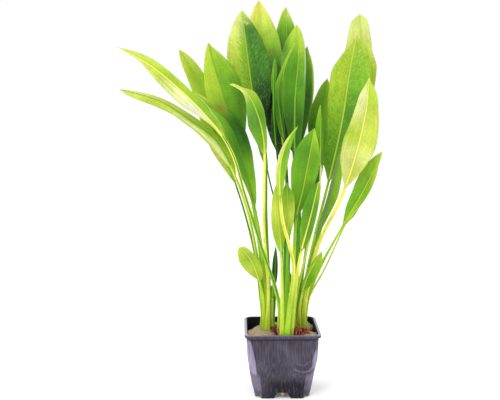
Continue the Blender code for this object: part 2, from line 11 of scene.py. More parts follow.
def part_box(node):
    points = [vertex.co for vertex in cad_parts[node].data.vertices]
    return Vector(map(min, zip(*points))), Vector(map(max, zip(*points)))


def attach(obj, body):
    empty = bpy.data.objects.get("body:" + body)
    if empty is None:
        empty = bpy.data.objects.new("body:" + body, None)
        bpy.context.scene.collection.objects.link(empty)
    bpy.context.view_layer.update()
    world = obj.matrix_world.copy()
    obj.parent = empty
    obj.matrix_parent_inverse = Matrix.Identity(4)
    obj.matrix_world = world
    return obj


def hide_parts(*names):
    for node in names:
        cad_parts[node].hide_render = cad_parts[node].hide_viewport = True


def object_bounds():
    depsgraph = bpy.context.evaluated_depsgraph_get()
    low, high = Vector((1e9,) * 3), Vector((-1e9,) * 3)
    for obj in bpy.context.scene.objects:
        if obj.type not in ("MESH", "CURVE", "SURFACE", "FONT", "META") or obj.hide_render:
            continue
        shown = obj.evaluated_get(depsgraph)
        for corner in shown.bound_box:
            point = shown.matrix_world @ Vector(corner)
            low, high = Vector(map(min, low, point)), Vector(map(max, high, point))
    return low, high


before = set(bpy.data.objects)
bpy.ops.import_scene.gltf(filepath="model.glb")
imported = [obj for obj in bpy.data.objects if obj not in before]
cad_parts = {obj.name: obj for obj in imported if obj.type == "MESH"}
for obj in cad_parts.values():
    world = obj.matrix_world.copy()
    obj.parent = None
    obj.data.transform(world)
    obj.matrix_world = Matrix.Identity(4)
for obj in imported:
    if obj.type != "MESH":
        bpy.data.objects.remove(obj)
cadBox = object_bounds()
print("frame loaded,", len(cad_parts), "nodes")

# Sizes are in millimetres in the pot's own frame: x right, y to the back, z up, and nought under
# the pot's middle. place() turns them into the frame's metres. Materials work in metres.
mm = 0.001
potLow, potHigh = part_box("pot")
potMiddle = np.array([(potLow.x + potHigh.x) / 2, (potLow.y + potHigh.y) / 2, potLow.z])


def place(points):
    return np.asarray(points, float) * mm + potMiddle


def clamp(value):
    return min(1.0, max(0.0, value))


def srgb(red, green, blue):
    # a colour as a screen shows it, 0 to 255, as Blender's linear values
    return tuple(c / 12.92 if c <= 0.04045 else ((c + 0.055) / 1.055) ** 2.4
                 for c in (red / 255, green / 255, blue / 255))


# Node trees

class Wire:
    # one output of a node, which takes part in Python sums
    def __init__(self, bench, socket):
        self.bench, self.socket = bench, socket

    def calc(self, operation, *terms):
        vectors = [isinstance(term, Wire) and term.socket.type == "VECTOR" for term in terms]
        if not any(vectors):
            return self.bench.add("ShaderNodeMath", {"operation": operation}, terms)
        if operation == "MULTIPLY" and not all(vectors):
            return self.bench.scale(*(terms if vectors[0] else terms[::-1]))
        return self.bench.add("ShaderNodeVectorMath", {"operation": operation}, terms)

    def __neg__(self):
        return self.calc("MULTIPLY", self, -1.0)


# What a wire can be asked for: the four sums also with a number on their left
for word, kind in (("add", "ADD"), ("sub", "SUBTRACT"), ("mul", "MULTIPLY"), ("truediv", "DIVIDE")):
    setattr(Wire, f"__{word}__", lambda a, b, kind=kind: a.calc(kind, a, b))
    setattr(Wire, f"__r{word}__", lambda a, b, kind=kind: a.calc(kind, b, a))
for word, kind in (("__pow__", "POWER"), ("__gt__", "GREATER_THAN"), ("__abs__", "ABSOLUTE"),
                   ("sin", "SINE"), ("cos", "COSINE"), ("least", "MINIMUM"), ("most", "MAXIMUM")):
    setattr(Wire, word, lambda *terms, kind=kind: terms[0].calc(kind, *terms))


class Bench:
    # builds one node tree
    def __init__(self, tree, material=None):
        self.tree, self.material = tree, material

    def add(self, kind, settings=None, given=(), out=0):
        made = self.tree.nodes.new(kind)
        for name, value in (settings or {}).items():
            setattr(made, name, value)
        for key, value in given.items() if isinstance(given, dict) else enumerate(given):
            self.feed(made.inputs[key], value)
        return Wire(self, made.outputs[out])

    def feed(self, socket, value):
        if isinstance(value, Wire):
            self.tree.links.new(value.socket, socket)
        elif socket.type == "RGBA" and len(value) == 3:
            socket.default_value = (*value, 1.0)
        else:
            socket.default_value = value

    def shade(self, values):
        # sets the surface shader and gives back its material
        for name, value in values.items():
            self.feed(self.tree.nodes["Principled BSDF"].inputs[name], value)
        return self.material

    def scale(self, vector, by):
        return self.add("ShaderNodeVectorMath", {"operation": "SCALE"},
                        {"Vector": vector, "Scale": by})

    def mix(self, factor, first, second):
        # colours
        return self.add("ShaderNodeMix", {"data_type": "RGBA"}, {0: factor, 6: first, 7: second}, 2)

    def step(self, value, low, high):
        # 0 below low, 1 above high, smooth between
        return self.add("ShaderNodeMapRange", {"interpolation_type": "SMOOTHSTEP"},
                        {"Value": value, "From Min": low, "From Max": high})

    def attribute(self, name, out="Fac"):
        return self.add("ShaderNodeAttribute", {"attribute_name": name}, out=out)

    def grain(self, vector, scale=1.0, detail=3.0, rough=0.55, distortion=0.0):
        return self.add("ShaderNodeTexNoise", {}, {"Vector": vector, "Scale": scale,
                        "Detail": detail, "Roughness": rough, "Distortion": distortion})

    def combine(self, x, y, z):
        return self.add("ShaderNodeCombineXYZ", {}, [x, y, z])

    def split(self, vector):
        first = self.add("ShaderNodeSeparateXYZ", {}, [vector])
        return [Wire(self, end) for end in first.socket.node.outputs]

    def spot(self):
        return self.add("ShaderNodeTexCoord", out="Object")

    def bump(self, height, strength, distance):
        return self.add("ShaderNodeBump", {}, {"Height": height, "Strength": strength,
                        "Distance": distance})

    def named(self, name, kind="FLOAT"):
        # a mesh attribute inside a Geometry Nodes tree
        return self.add("GeometryNodeInputNamedAttribute", {"data_type": kind}, {"Name": name})

    def store(self, geometry, name, value):
        return self.add("GeometryNodeStoreNamedAttribute",
                        {"data_type": "FLOAT", "domain": "POINT"},
                        {"Geometry": geometry, "Name": name, "Value": value})


def newMaterial(name):
    made = bpy.data.materials.new(name)
    made.use_nodes = True
    return Bench(made.node_tree, made)


def newTree(name, numbers, counts=()):
    # a Geometry Nodes tree: its bench, and a wire for each named input
    tree = bpy.data.node_groups.new(name, "GeometryNodeTree")
    inputs = [("Geometry", "Geometry"), ("Finish", "Material")]
    inputs += [(label, "Float") for label in numbers] + [(label, "Int") for label in counts]
    for label, kind in inputs:
        tree.interface.new_socket(label, in_out="INPUT", socket_type="NodeSocket" + kind)
    tree.interface.new_socket("Geometry", in_out="OUTPUT", socket_type="NodeSocketGeometry")
    bench = Bench(tree)
    start = tree.nodes.new("NodeGroupInput")
    return bench, {end.name: Wire(bench, end) for end in start.outputs if end.name}


def endTree(bench, geometry, finish, smooth=True):
    if smooth:
        geometry = bench.add("GeometryNodeSetShadeSmooth", {}, {"Geometry": geometry})
    whole = bench.add("GeometryNodeRealizeInstances", {}, [geometry])
    dressed = bench.add("GeometryNodeSetMaterial", {}, {"Geometry": whole, "Material": finish})
    end = bench.tree.nodes.new("NodeGroupOutput")
    bench.tree.links.new(dressed.socket, end.inputs["Geometry"])
    return bench.tree


# Meshes

def link(name, mesh):
    made = bpy.data.objects.new(name, mesh)
    bpy.context.scene.collection.objects.link(made)
    return made


def flatten(thing):
    # leaves what the modifiers make as a plain mesh
    bpy.context.view_layer.update()
    graph = bpy.context.evaluated_depsgraph_get()
    plain = bpy.data.meshes.new_from_object(thing.evaluated_get(graph), depsgraph=graph)
    thing.modifiers.clear()
    thing.data = plain
    return thing


def grow(thing, tree, values):
    # runs a tree on an object; every input is set by its identifier
    modifier = thing.modifiers.new(tree.name, "NODES")
    modifier.node_group = tree
    for item in tree.interface.items_tree:
        if item.in_out == "INPUT" and item.name in values:
            modifier[item.identifier] = values[item.name]
    thing.update_tag()
    return flatten(thing)


def newMesh(name, points, edges, faces):
    mesh = bpy.data.meshes.new(name)
    mesh.from_pydata([tuple(p) for p in place(points)], edges, faces)
    return mesh


def read(mesh, name):
    flat = np.zeros(len(mesh.vertices), np.float32)
    mesh.attributes[name].data.foreach_get("value", flat)
    return flat.astype(float)


def write(mesh, name, values, kind="FLOAT", field="value", wide=1):
    # one attribute of every point; a single value is given to them all
    rows = np.array(values, np.float32).reshape(-1, wide)
    rows = np.tile(rows, (len(mesh.vertices) // len(rows), 1))
    mesh.attributes.new(name, kind, "POINT").data.foreach_set(field, rows.ravel())


def faceOut(mesh):
    # turns a closed mesh's faces outwards
    bm = bmesh.new()
    bm.from_mesh(mesh)
    if bm.calc_volume(signed=True) < 0:
        bmesh.ops.reverse_faces(bm, faces=bm.faces)
    bm.to_mesh(mesh)
    bm.free()


# Pot

pot = {
    "height": 80.0,
    "rimHalf": 45.0,
    "rimDrop": 4.2,
    "wallThickness": 1.1,
    "footWidth": 2.4,
    "floorUnderside": 7.4,
    "floorThickness": 1.2,
    "holeRing": 21.0,        # the drain holes round the middle one
    "holeRadius": 4.0,
    "holeSides": 24,
    "drillDepth": 6.0,
    "archHeight": 7.0,
    "archFoot": 10.5,        # half widths of the drain arch
    "archTop": 6.5,
    "footLift": 2.5,         # how far the foot's corners stand off the table
    "columns": 96,           # points along each straight side
    "cornerSteps": 9,
    "flutesPerSide": 24.0,
    "fluteDepth": 0.13,
    "creaseWidth": 1.6,
    "creaseWhite": 0.75,     # how far from a crease the wall is whitened
    "crumpleFoot": 8.0,      # the wall is crumpled between these heights
    "crumpleTop": 74.0,
    "softDents": 1.1,
    "sharpAngle": 45,        # degrees between faces from which an edge is shown sharp
    "mostIn": 0.85,          # the dents' limits, so that the wall keeps its thickness
    "mostOut": 1.5,
}
# The outer wall: height, half width, corner size, roundness of the corner
potWall = ((0.0, 32.5, 8.0, 0.0), (7.4, 33.6, 9.0, 0.0), (28.0, 37.7, 10.0, 0.3),
           (41.0, 39.9, 9.0, 0.6), (48.0, 41.1, 8.0, 1.0), (75.0, 42.3, 8.0, 1.0),
           (80.0, 42.5, 8.0, 1.0))
# Dents of the soft wall on its front: middle x and z, reach across and up, depth
potDents = ((27.0, 56.0, 10.0, 13.0, 1.9), (8.0, 22.0, 17.0, 9.0, 0.9),
            (-27.0, 46.0, 7.0, 18.0, 1.2), (33.0, 28.0, 6.0, 8.0, -0.8),
            (-6.0, 60.0, 16.0, 12.0, -0.5), (8.0, 40.0, 9.0, 30.0, -0.5))
# Creases: points x, z along the front wall, height of the ridge
potCreases = (
    (((13, 39), (16, 36.5), (21, 34.8), (26, 34.5), (31, 36.5), (35, 40.5), (38, 46)), 1.4),
    (((26, 38), (30, 40), (33, 43), (36, 48)), -0.9),
    (((-40, 70), (-37, 50), (-30, 30)), 1.3),
    (((-34, 72), (-33, 50), (-28, 34)), -0.8),
    (((17, 45), (21, 43), (26, 43), (31, 47)), 0.7),
)


def wallAt(z):
    table = np.array(potWall)
    return [float(np.interp(z, table[:, 0], table[:, k])) for k in (1, 2, 3)]


def squarePoint(u, v, half, corner, roundness):
    start = 1 - corner / half
    across = [max(0.0, abs(c) - start) / (1 - start) for c in (u, v)]
    if min(across) > 0:
        reach = max(across)
        share = roundness * reach / math.hypot(*across) + (1 - roundness) * reach / sum(across)
        across = [a * share for a in across]
    inner = [min(abs(c), start) + p * (1 - start) for c, p in zip((u, v), across)]
    return math.copysign(inner[0] * half, u), math.copysign(inner[1] * half, v)


def potRing(z, half, corner, roundness, foot):
    # one ring round the pot, with the place of each point along its side from -1 to 1
    lift = pot["footLift"] if foot else 0.0
    start = 1 - corner / half
    footStraight = potWall[0][1] - potWall[0][2]
    row = []
    for k in range(pot["columns"]):   # the side at x = +half, from low y to high y
        f = 2 * k / pot["columns"] - 1
        slope = (pot["archFoot"] - abs(f) * footStraight) / (pot["archFoot"] - pot["archTop"])
        rise = pot["archHeight"] * clamp(slope) if foot else 0.0
        row.append((half, f * (half - corner), z + rise, f))
    for k in range(pot["cornerSteps"]):
        angle = math.pi / 2 * k / pot["cornerSteps"]
        reach = max(math.cos(angle), math.sin(angle))
        u, v = (start + part / reach * (1 - start) for part in (math.cos(angle), math.sin(angle)))
        x, y = squarePoint(u, v, half, corner, roundness)
        row.append((x, y, z + lift * math.sin(2 * angle), 1.0))
    points = []
    for quarter in range(4):
        cos, sin = math.cos(math.pi / 2 * quarter), math.sin(math.pi / 2 * quarter)
        points += [(x * cos - y * sin, x * sin + y * cos, height) for x, y, height, f in row]
    return points, [f for *_, f in row] * 4


def dentAt(x, z):
    # how far the front wall is pushed in at a place, and how whitened by a crease
    depth, white = 0.0, 0.0
    for midX, midZ, reachX, reachZ, push in potDents:
        depth += push * math.exp(-((x - midX) / reachX) ** 2 - ((z - midZ) / reachZ) ** 2)
    for line, ridge in potCreases:
        nearest = 99.0
        for (ax, az), (bx, bz) in zip(line, line[1:]):
            goX, goZ = bx - ax, bz - az
            share = clamp(((x - ax) * goX + (z - az) * goZ) / (goX ** 2 + goZ ** 2))
            nearest = min(nearest, math.hypot(x - ax - share * goX, z - az - share * goZ))
        depth -= ridge * math.exp(-(nearest / pot["creaseWidth"]) ** 2)
        white = max(white, ridge * math.exp(-(nearest / pot["creaseWhite"]) ** 2))
    return depth, white


def crumple(x, y, z):
    # soft dents on every wall, and the photographed ones on the front
    fade = clamp((pot["crumpleTop"] - z) / 6) * clamp((z - pot["crumpleFoot"]) / 8)
    reach = math.hypot(x, y)
    push = noise.noise(Vector((x * 0.035 + 3, y * 0.035, z * 0.03))) * pot["softDents"] * fade
    push += dentAt(x, z)[0] * fade * clamp((-y - 30) / 6)
    push = min(pot["mostIn"], max(-pot["mostOut"], push))
    return x - x / reach * push, y - y / reach * push, z


def makePotMesh():
    rings, marks = [], {"alongSide": [], "fluted": [], "inner": [], "crease": []}

    def ring(z, half, corner, roundness=1.0, foot=False, dented=False, flute=0.0, inner=0.0):
        points, along = potRing(z, half, corner, roundness, foot)
        white = [dentAt(x, h)[1] if dented and y < -30 else 0.0 for x, y, h in points]
        rings.append([crumple(*p) for p in points] if dented else points)
        for row, values in zip(marks.values(), (along, flute, inner, white)):
            row.append(np.broadcast_to(values, len(points)))

    def wallRing(z, thinner=0.0, tighter=0.0, **more):
        half, corner, roundness = wallAt(z)
        ring(z, half - thinner, corner - tighter, roundness, **more)

    wall, floorTop = pot["wallThickness"], pot["floorUnderside"] + pot["floorThickness"]
    heights = [float(z) for z in range(8, 76)]
    wallRing(pot["floorUnderside"], wall)
    wallRing(0.0, pot["footWidth"], foot=True)
    wallRing(0.0, foot=True)
    for z in heights:
        wallRing(z, dented=True, flute=min(1.0, (z - 6) / 6) * clamp((75 - z) / 3))
    under, drop, rim = pot["height"] - 1.1, pot["rimDrop"], pot["rimHalf"]
    bore, corner, _ = wallAt(under)
    # the rim's section: depth below the top, half width, how much larger the corner is
    for depth, half, larger in (
            (1.1, bore, 0), (1.1, rim - 1.1, 1), (drop - 0.2, rim - 1.1, 1), (drop, rim - 0.9, 2),
            (drop, rim - 0.2, 2), (drop - 0.2, rim, 2), (1.2, rim, 2), (0.5, rim - 0.25, 2),
            (0.1, rim - 0.8, 2), (0.0, rim - 1.4, 2), (0.05, bore - wall + 0.5, -1)):
        ring(pot["height"] - depth, half, corner + larger)
    for depth, half in ((0.4, bore - wall + 0.1), (1.0, bore - wall)):
        ring(pot["height"] - depth, half, corner - 1, inner=1.0)
    for z in [76.0] + heights[::-2][:6] + [60, 50, 40, 30, 20]:
        wallRing(z, wall, 1, dented=z > 60, inner=1.0)
    wallRing(floorTop, wall, 1, inner=1.0)
    count = len(rings[0])
    faces = [(k + i, k + (i + 1) % count, k + count + (i + 1) % count, k + count + i)
             for k in range(0, (len(rings) - 1) * count, count) for i in range(count)]
    faces += [tuple(range(count)), tuple(range((len(rings) - 1) * count, len(rings) * count))]
    mesh = newMesh("potWalls", np.reshape(rings, (-1, 3)), [], faces)
    for label, rows in marks.items():
        write(mesh, label, rows)
    faceOut(mesh)
    return mesh


def potSpot(b):
    # Object coordinates, and x, y, z from the pot's middle
    spot = b.spot()
    x, y, z = b.split(spot)
    return spot, x - float(potMiddle[0]), y - float(potMiddle[1]), z


def potMaterial():
    b = newMaterial("potPlastic")
    spot, x, y, z = potSpot(b)
    wide, deep, _ = b.split(spot)
    streaks = b.grain(b.combine(wide * 420, deep * 420, z * 9), 1.0, 2.0)
    ridge = b.grain(b.combine(wide * 900, deep * 900, z * 25), 1.0, 2.0)
    cloud = b.grain(spot, 38.0, 4.0)
    inner = b.attribute("inner")
    # a stain low on the front, drips at the foot and the shadow line under the rim
    stain = (1 - b.step(z, 0.017, 0.030)) * (1 - b.step(abs(x - 0.006), 0.014, 0.034))
    stain = stain * (1 - b.step(y, -0.03, 0.0)) * b.step(streaks * 0.8 + cloud * 0.4, 0.44, 0.60)
    drips = (1 - b.step(z, 0.004, 0.022)) * b.step(ridge, 0.52, 0.62)
    underRim = b.step(z, 0.0728, 0.0742) * (1 - b.step(z, 0.0757, 0.0758))
    # painted highlight: the thin corners and a chamfer low on the front corners are painted pale
    # lilac, patchy like scuffs, and the creases are whitened
    edge = abs(x).most(abs(y)) + abs(x).least(abs(y))
    top = 0.0590 + z * 0.275 + (x > 0.0) * 0.0018
    patchy = 0.45 + b.step(streaks * 0.6 + cloud * 0.4, 0.35, 0.6) * 0.55
    sheenAndCreases = b.step(edge, top, top + 0.0015) * patchy
    chamfer = 0.0560 + z * 0.28
    below = b.step(edge, chamfer, chamfer + 0.0008) * (1 - b.step(z, 0.026, 0.034))
    sheenAndCreases = sheenAndCreases.most(below * (0.2 + streaks * 0.4)).most(b.attribute("crease") * 0.32)
    # a painted highlight along the rim's top, stronger towards its left and right ends
    rimHighlight = b.step(z, 0.0785, 0.0797) * (0.25 + b.step(abs(x), 0.038, 0.044) * 0.5)
    dust = b.step(cloud, 0.42, 0.75) * 0.40 + b.step(ridge, 0.30, 0.75) * 0.60
    base = b.mix(dust, srgb(42, 37, 48), srgb(90, 82, 99))
    # the pale lilac on the corners and the chamfer is a painted highlight
    base = b.mix(sheenAndCreases * (1 - b.step(z, 0.0752, 0.0758)) * 0.7, base, srgb(160, 150, 178))
    base = b.mix(rimHighlight, base, srgb(168, 158, 182))
    base = b.mix((stain * 0.95).most(drips * 0.85).most(underRim * 0.85), base, srgb(12, 9, 15))
    # painted shade: the inside of the pot is painted near black
    base = b.mix(inner, base, srgb(13, 11, 15))
    return b.shade({"Base Color": base, "Normal": b.bump(ridge * 0.7 + cloud * 0.6, 0.4, 0.0003),
                    "Roughness": 0.24 + 0.12 * cloud + 0.25 * stain + 0.5 * inner,
                    "Specular IOR Level": 0.26, "Specular Tint": (0.93, 0.88, 1.0)})


def fluteTree():
    b, given = newTree("wallFlutes", ("Flutes", "Depth"))
    wave = (b.named("alongSide") * given["Flutes"] * math.pi).cos() * b.named("fluted")
    moved = b.add("GeometryNodeSetPosition", {}, {"Geometry": given["Geometry"],
                  "Offset": b.add("GeometryNodeInputNormal") * (wave * given["Depth"])})
    return endTree(b, moved, given["Finish"])


def drillFloor(thing):
    # five drain holes through the floor
    bm = bmesh.new()
    spots = [(0, 0)] + [(pot["holeRing"] * math.cos(a), pot["holeRing"] * math.sin(a))
                        for a in (0, math.pi / 2, math.pi, math.pi * 1.5)]
    for x, y in spots:
        radius = pot["holeRadius"] * mm
        made = bmesh.ops.create_cone(bm, cap_ends=True, segments=pot["holeSides"],
                                     depth=pot["drillDepth"] * mm, radius1=radius, radius2=radius)
        bmesh.ops.translate(bm, verts=made["verts"], vec=place([x, y, pot["floorUnderside"]]))
    mesh = bpy.data.meshes.new("drill")
    bm.to_mesh(mesh)
    bm.free()
    drill = link("drill", mesh)
    cut = thing.modifiers.new("holes", "BOOLEAN")
    cut.operation, cut.solver, cut.object = "DIFFERENCE", "EXACT", drill
    flatten(thing)
    bpy.data.objects.remove(drill)


def makePot():
    piece = link("nursery_pot", makePotMesh())
    finish = potMaterial()
    grow(piece, fluteTree(), {"Flutes": pot["flutesPerSide"], "Depth": pot["fluteDepth"] * mm,
                              "Finish": finish})
    drillFloor(piece)
    piece.data.materials.clear()
    piece.data.materials.append(finish)
    piece.data.shade_smooth()
    piece.data.set_sharp_from_angle(angle=math.radians(pot["sharpAngle"]))
    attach(piece, "root")
    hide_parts("pot")


# Sand

sand = {
    "level": 75.0,
    "most": 78.2,
    "cells": 110,
    "wallGap": 1.4,         # from the pot's outer face to the sand's edge
    "sideHeights": (48.0, 41.0, 28.0, 8.9),
    "clumpLevel": 75.4,     # the sand's height round each clump, and how far out it is level
    "clumpMargin": 3.0,
    "ripple": 0.35,
    "grit": 0.45,
    "grainsPerSquareMetre": 620000.0,
    "grainSize": 0.32,
    "grainsAbove": 70.0,    # no grain lies lower than this
    "seed": 4,
}
# Mounds and hollows: x, y, spread, height
sandForms = ((-30, -16, 16, 2.2), (-24, 16, 10, 1.4), (30, -30, 14, 1.8), (34, 30, 7, 4.0),
             (-46, 42, 21, -12.0), (-49, 14, 13, -8.0), (4, 50, 12, -6.0), (46, 34, 9, -13.0),
             (47, 6, 11, -11.0), (14, -12, 7, -1.6), (-5, -12, 6, -1.8))
# The clumps that the stalks rise from: middle, and half widths of the ring of stalks
crownSpots = {"left": ((-17.0, 4.0), (5.7, 9.2)), "centre": ((3.0, -25.5), (7.4, 10.0)),
              "right": ((20.5, 9.0), (8.0, 11.0))}


def sandHeight(x, y):
    z = sand["level"]
    for formX, formY, spread, height in sandForms:
        z += height * math.exp(-((x - formX) ** 2 + (y - formY) ** 2) / spread ** 2)
    z += sand["ripple"] * (math.sin(0.31 * x + 0.9) * math.cos(0.27 * y - 0.4)
                           + math.sin(0.17 * x - 0.43 * y))
    return min(z, sand["most"])


def sandSurface(x, y):
    z = sandHeight(x, y)
    z += sand["grit"] * (noise.noise(Vector((x * 0.35, y * 0.35, 2.0)))
                         + 0.5 * noise.noise(Vector((x * 0.9, y * 0.9, 7.0))))
    margin = sand["clumpMargin"]
    for (midX, midY), (ringX, ringY) in crownSpots.values():   # level round each clump
        away = math.hypot((x - midX) / (ringX + margin), (y - midY) / (ringY + margin))
        if away < 1.15:
            z = min(z, sand["clumpLevel"] + max(0.0, away - 1.0) * 12)
    return min(z, sand["most"] + 0.2)


def sandEdge(z):
    half, corner, roundness = wallAt(z)
    return half - sand["wallGap"], corner - 1, roundness


def makeSandMesh():
    cells = sand["cells"]
    spots = [2 * i / cells - 1 for i in range(cells + 1)]
    edge = sandEdge(sand["level"])
    points = []
    for u in spots:
        for v in spots:
            x, y = squarePoint(u, v, *edge)
            z = sandSurface(x, y)
            if max(abs(u), abs(v)) == 1:
                x, y = squarePoint(u, v, *sandEdge(z))
            points.append((x, y, z))
    wide = cells + 1
    faces = [(k, k + wide, k + wide + 1, k + 1)
             for k in (i * wide + j for i in range(cells) for j in range(cells))]
    walk = [(i, 0) for i in range(cells)] + [(cells, i) for i in range(cells)]
    walk += [(cells - i, cells) for i in range(cells)] + [(0, cells - i) for i in range(cells)]
    last = [i * wide + j for i, j in walk]
    for z in sand["sideHeights"]:
        ring = range(len(points), len(points) + len(walk))
        points += [(*squarePoint(spots[i], spots[j], *sandEdge(z)), z) for i, j in walk]
        for k in range(len(walk)):
            n = (k + 1) % len(walk)
            faces.append((last[k], ring[k], ring[n], last[n]))
        last = ring
    faces.append(tuple(last))
    mesh = newMesh("sandBed", points, [], faces)
    mesh.shade_smooth()
    faceOut(mesh)
    return mesh


def sandMaterial():
    b = newMaterial("wetSand")
    spot, x, y, z = potSpot(b)
    fine, patch = b.grain(spot, 1500.0, 2.0, 0.7), b.grain(spot, 90.0, 3.0)
    base = b.mix(b.step(fine, 0.35, 0.68), srgb(84, 66, 46), srgb(214, 192, 150))
    base = b.mix(b.step(patch, 0.52, 0.75) * 0.45, base, srgb(140, 112, 74))
    # a brown chunk behind the right clump, and the shade along the wall
    chunk = 1 - b.step((x - 0.031) ** 2.0 + (y - 0.031) ** 2.0, 0.00003, 0.00007)
    base = b.mix(chunk * (0.4 + patch), base, srgb(96, 66, 34))
    base = b.mix(1 - b.step(z, 0.0705, 0.0735), base, srgb(16, 13, 13))
    return b.shade({"Base Color": base, "Roughness": 0.95, "Normal": b.bump(fine, 0.6, 0.0004)})


def grainMaterial():
    b = newMaterial("sandGrains")
    shade = b.attribute("shade")
    base = b.mix(b.step(shade, 0.1, 0.6), srgb(58, 42, 30), srgb(208, 184, 142))
    base = b.mix(b.step(shade, 0.7, 1.0), base, srgb(246, 238, 218))
    return b.shade({"Base Color": base, "Roughness": 0.8})


def grainTree():
    b, given = newTree("sandGrains", ("Density", "Size"), ("Seed",))
    upward = b.split(b.add("GeometryNodeInputNormal"))[2] > 0.6
    height = b.split(b.add("GeometryNodeInputPosition"))[2] > sand["grainsAbove"] * mm
    points = b.add("GeometryNodeDistributePointsOnFaces", {"distribute_method": "RANDOM"},
                   {"Mesh": given["Geometry"], "Selection": upward * height,
                    "Density": given["Density"], "Seed": given["Seed"]})
    grain = b.add("GeometryNodeMeshIcoSphere", {}, {"Radius": given["Size"], "Subdivisions": 1})
    turn, size = (b.add("FunctionNodeRandomValue", {"data_type": "FLOAT_VECTOR"},
                        {0: low, 1: high, "Seed": seed})
                  for low, high, seed in (((0, 0, 0), (6.28, 6.28, 6.28), given["Seed"]),
                                          ((0.5, 0.5, 0.4), (1.5, 1.2, 1.1), given["Seed"] + 1)))
    shade = b.add("FunctionNodeRandomValue", {"data_type": "FLOAT"}, {"Seed": given["Seed"] + 2}, 1)
    placed = b.add("GeometryNodeInstanceOnPoints", {}, {"Points": b.store(points, "shade", shade),
                   "Instance": grain, "Rotation": turn, "Scale": size})
    return endTree(b, placed, given["Finish"], smooth=False)


def makeSand():
    bed = link("sand_bed", makeSandMesh())
    bed.data.materials.append(sandMaterial())
    grains = link("sand_grains", bed.data.copy())
    grow(grains, grainTree(), {"Density": sand["grainsPerSquareMetre"],
                               "Size": sand["grainSize"] * mm, "Seed": sand["seed"],
                               "Finish": grainMaterial()})
    for piece in (bed, grains):
        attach(piece, "root")
    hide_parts("soil")
    print("sand:", len(grains.data.polygons), "faces of grains")


# Leaves

palette = {
    "black": srgb(18, 38, 12), "deep": srgb(34, 80, 18), "dark": srgb(62, 122, 26),
    "green": srgb(94, 158, 30), "grass": srgb(120, 180, 32), "fresh": srgb(146, 194, 42),
    "lime": srgb(176, 208, 52), "light": srgb(202, 218, 80), "pale": srgb(220, 228, 124),
    "cream": srgb(233, 238, 166), "white": srgb(243, 248, 220), "straw": srgb(242, 232, 104),
    "grey": srgb(146, 164, 112), "brown": srgb(170, 100, 44),
}
leafShape = {
    "stalkRings": 30,
    "bladeRings": 84,
    "stalkFoot": 2.0,
    "stalkNeck": 1.6,
    "stalkSwell": 0.15,
    "footSpread": 1.1,      # how much wider a stalk is where it clasps the crown
    "footReach": 26.0,
    "footHeight": 74.4,
    "ribTip": 0.25,
    "widestShift": 0.88,
    "bladeLight": 0.66,     # how dark the palette is made under the studio's light
    # the stalks and ribs are made less dark than the blades: painted light against the shade they
    # stand in
    "stalkLight": 0.84,
    "ribLight": 0.82,
}
# What the leaf tree is given; the channel is how flat the stalk is on its upper face, and the
# bulge how much each half of the blade arches, of its width
leafSkin = {
    "Sides": 40,
    "Thickness": 0.8 * mm,
    "Channel": 0.55,
    "Rib on top": 0.22,
    "Rib width": 1.25 * mm,
    "Bulge": 0.05,
    "Edge wave": 1.1 * mm,
    "Waves": 5.0,
}

# A blade's outline: an oval, or its widths to the left and right of the rib at widthSpots,
# nought at both ends
Oval = namedtuple("Oval", "half blunt")
Sides = namedtuple("Sides", "left right")
widthSpots = (0, 0.08, 0.18, 0.3, 0.44, 0.58, 0.72, 0.85, 0.95, 1)
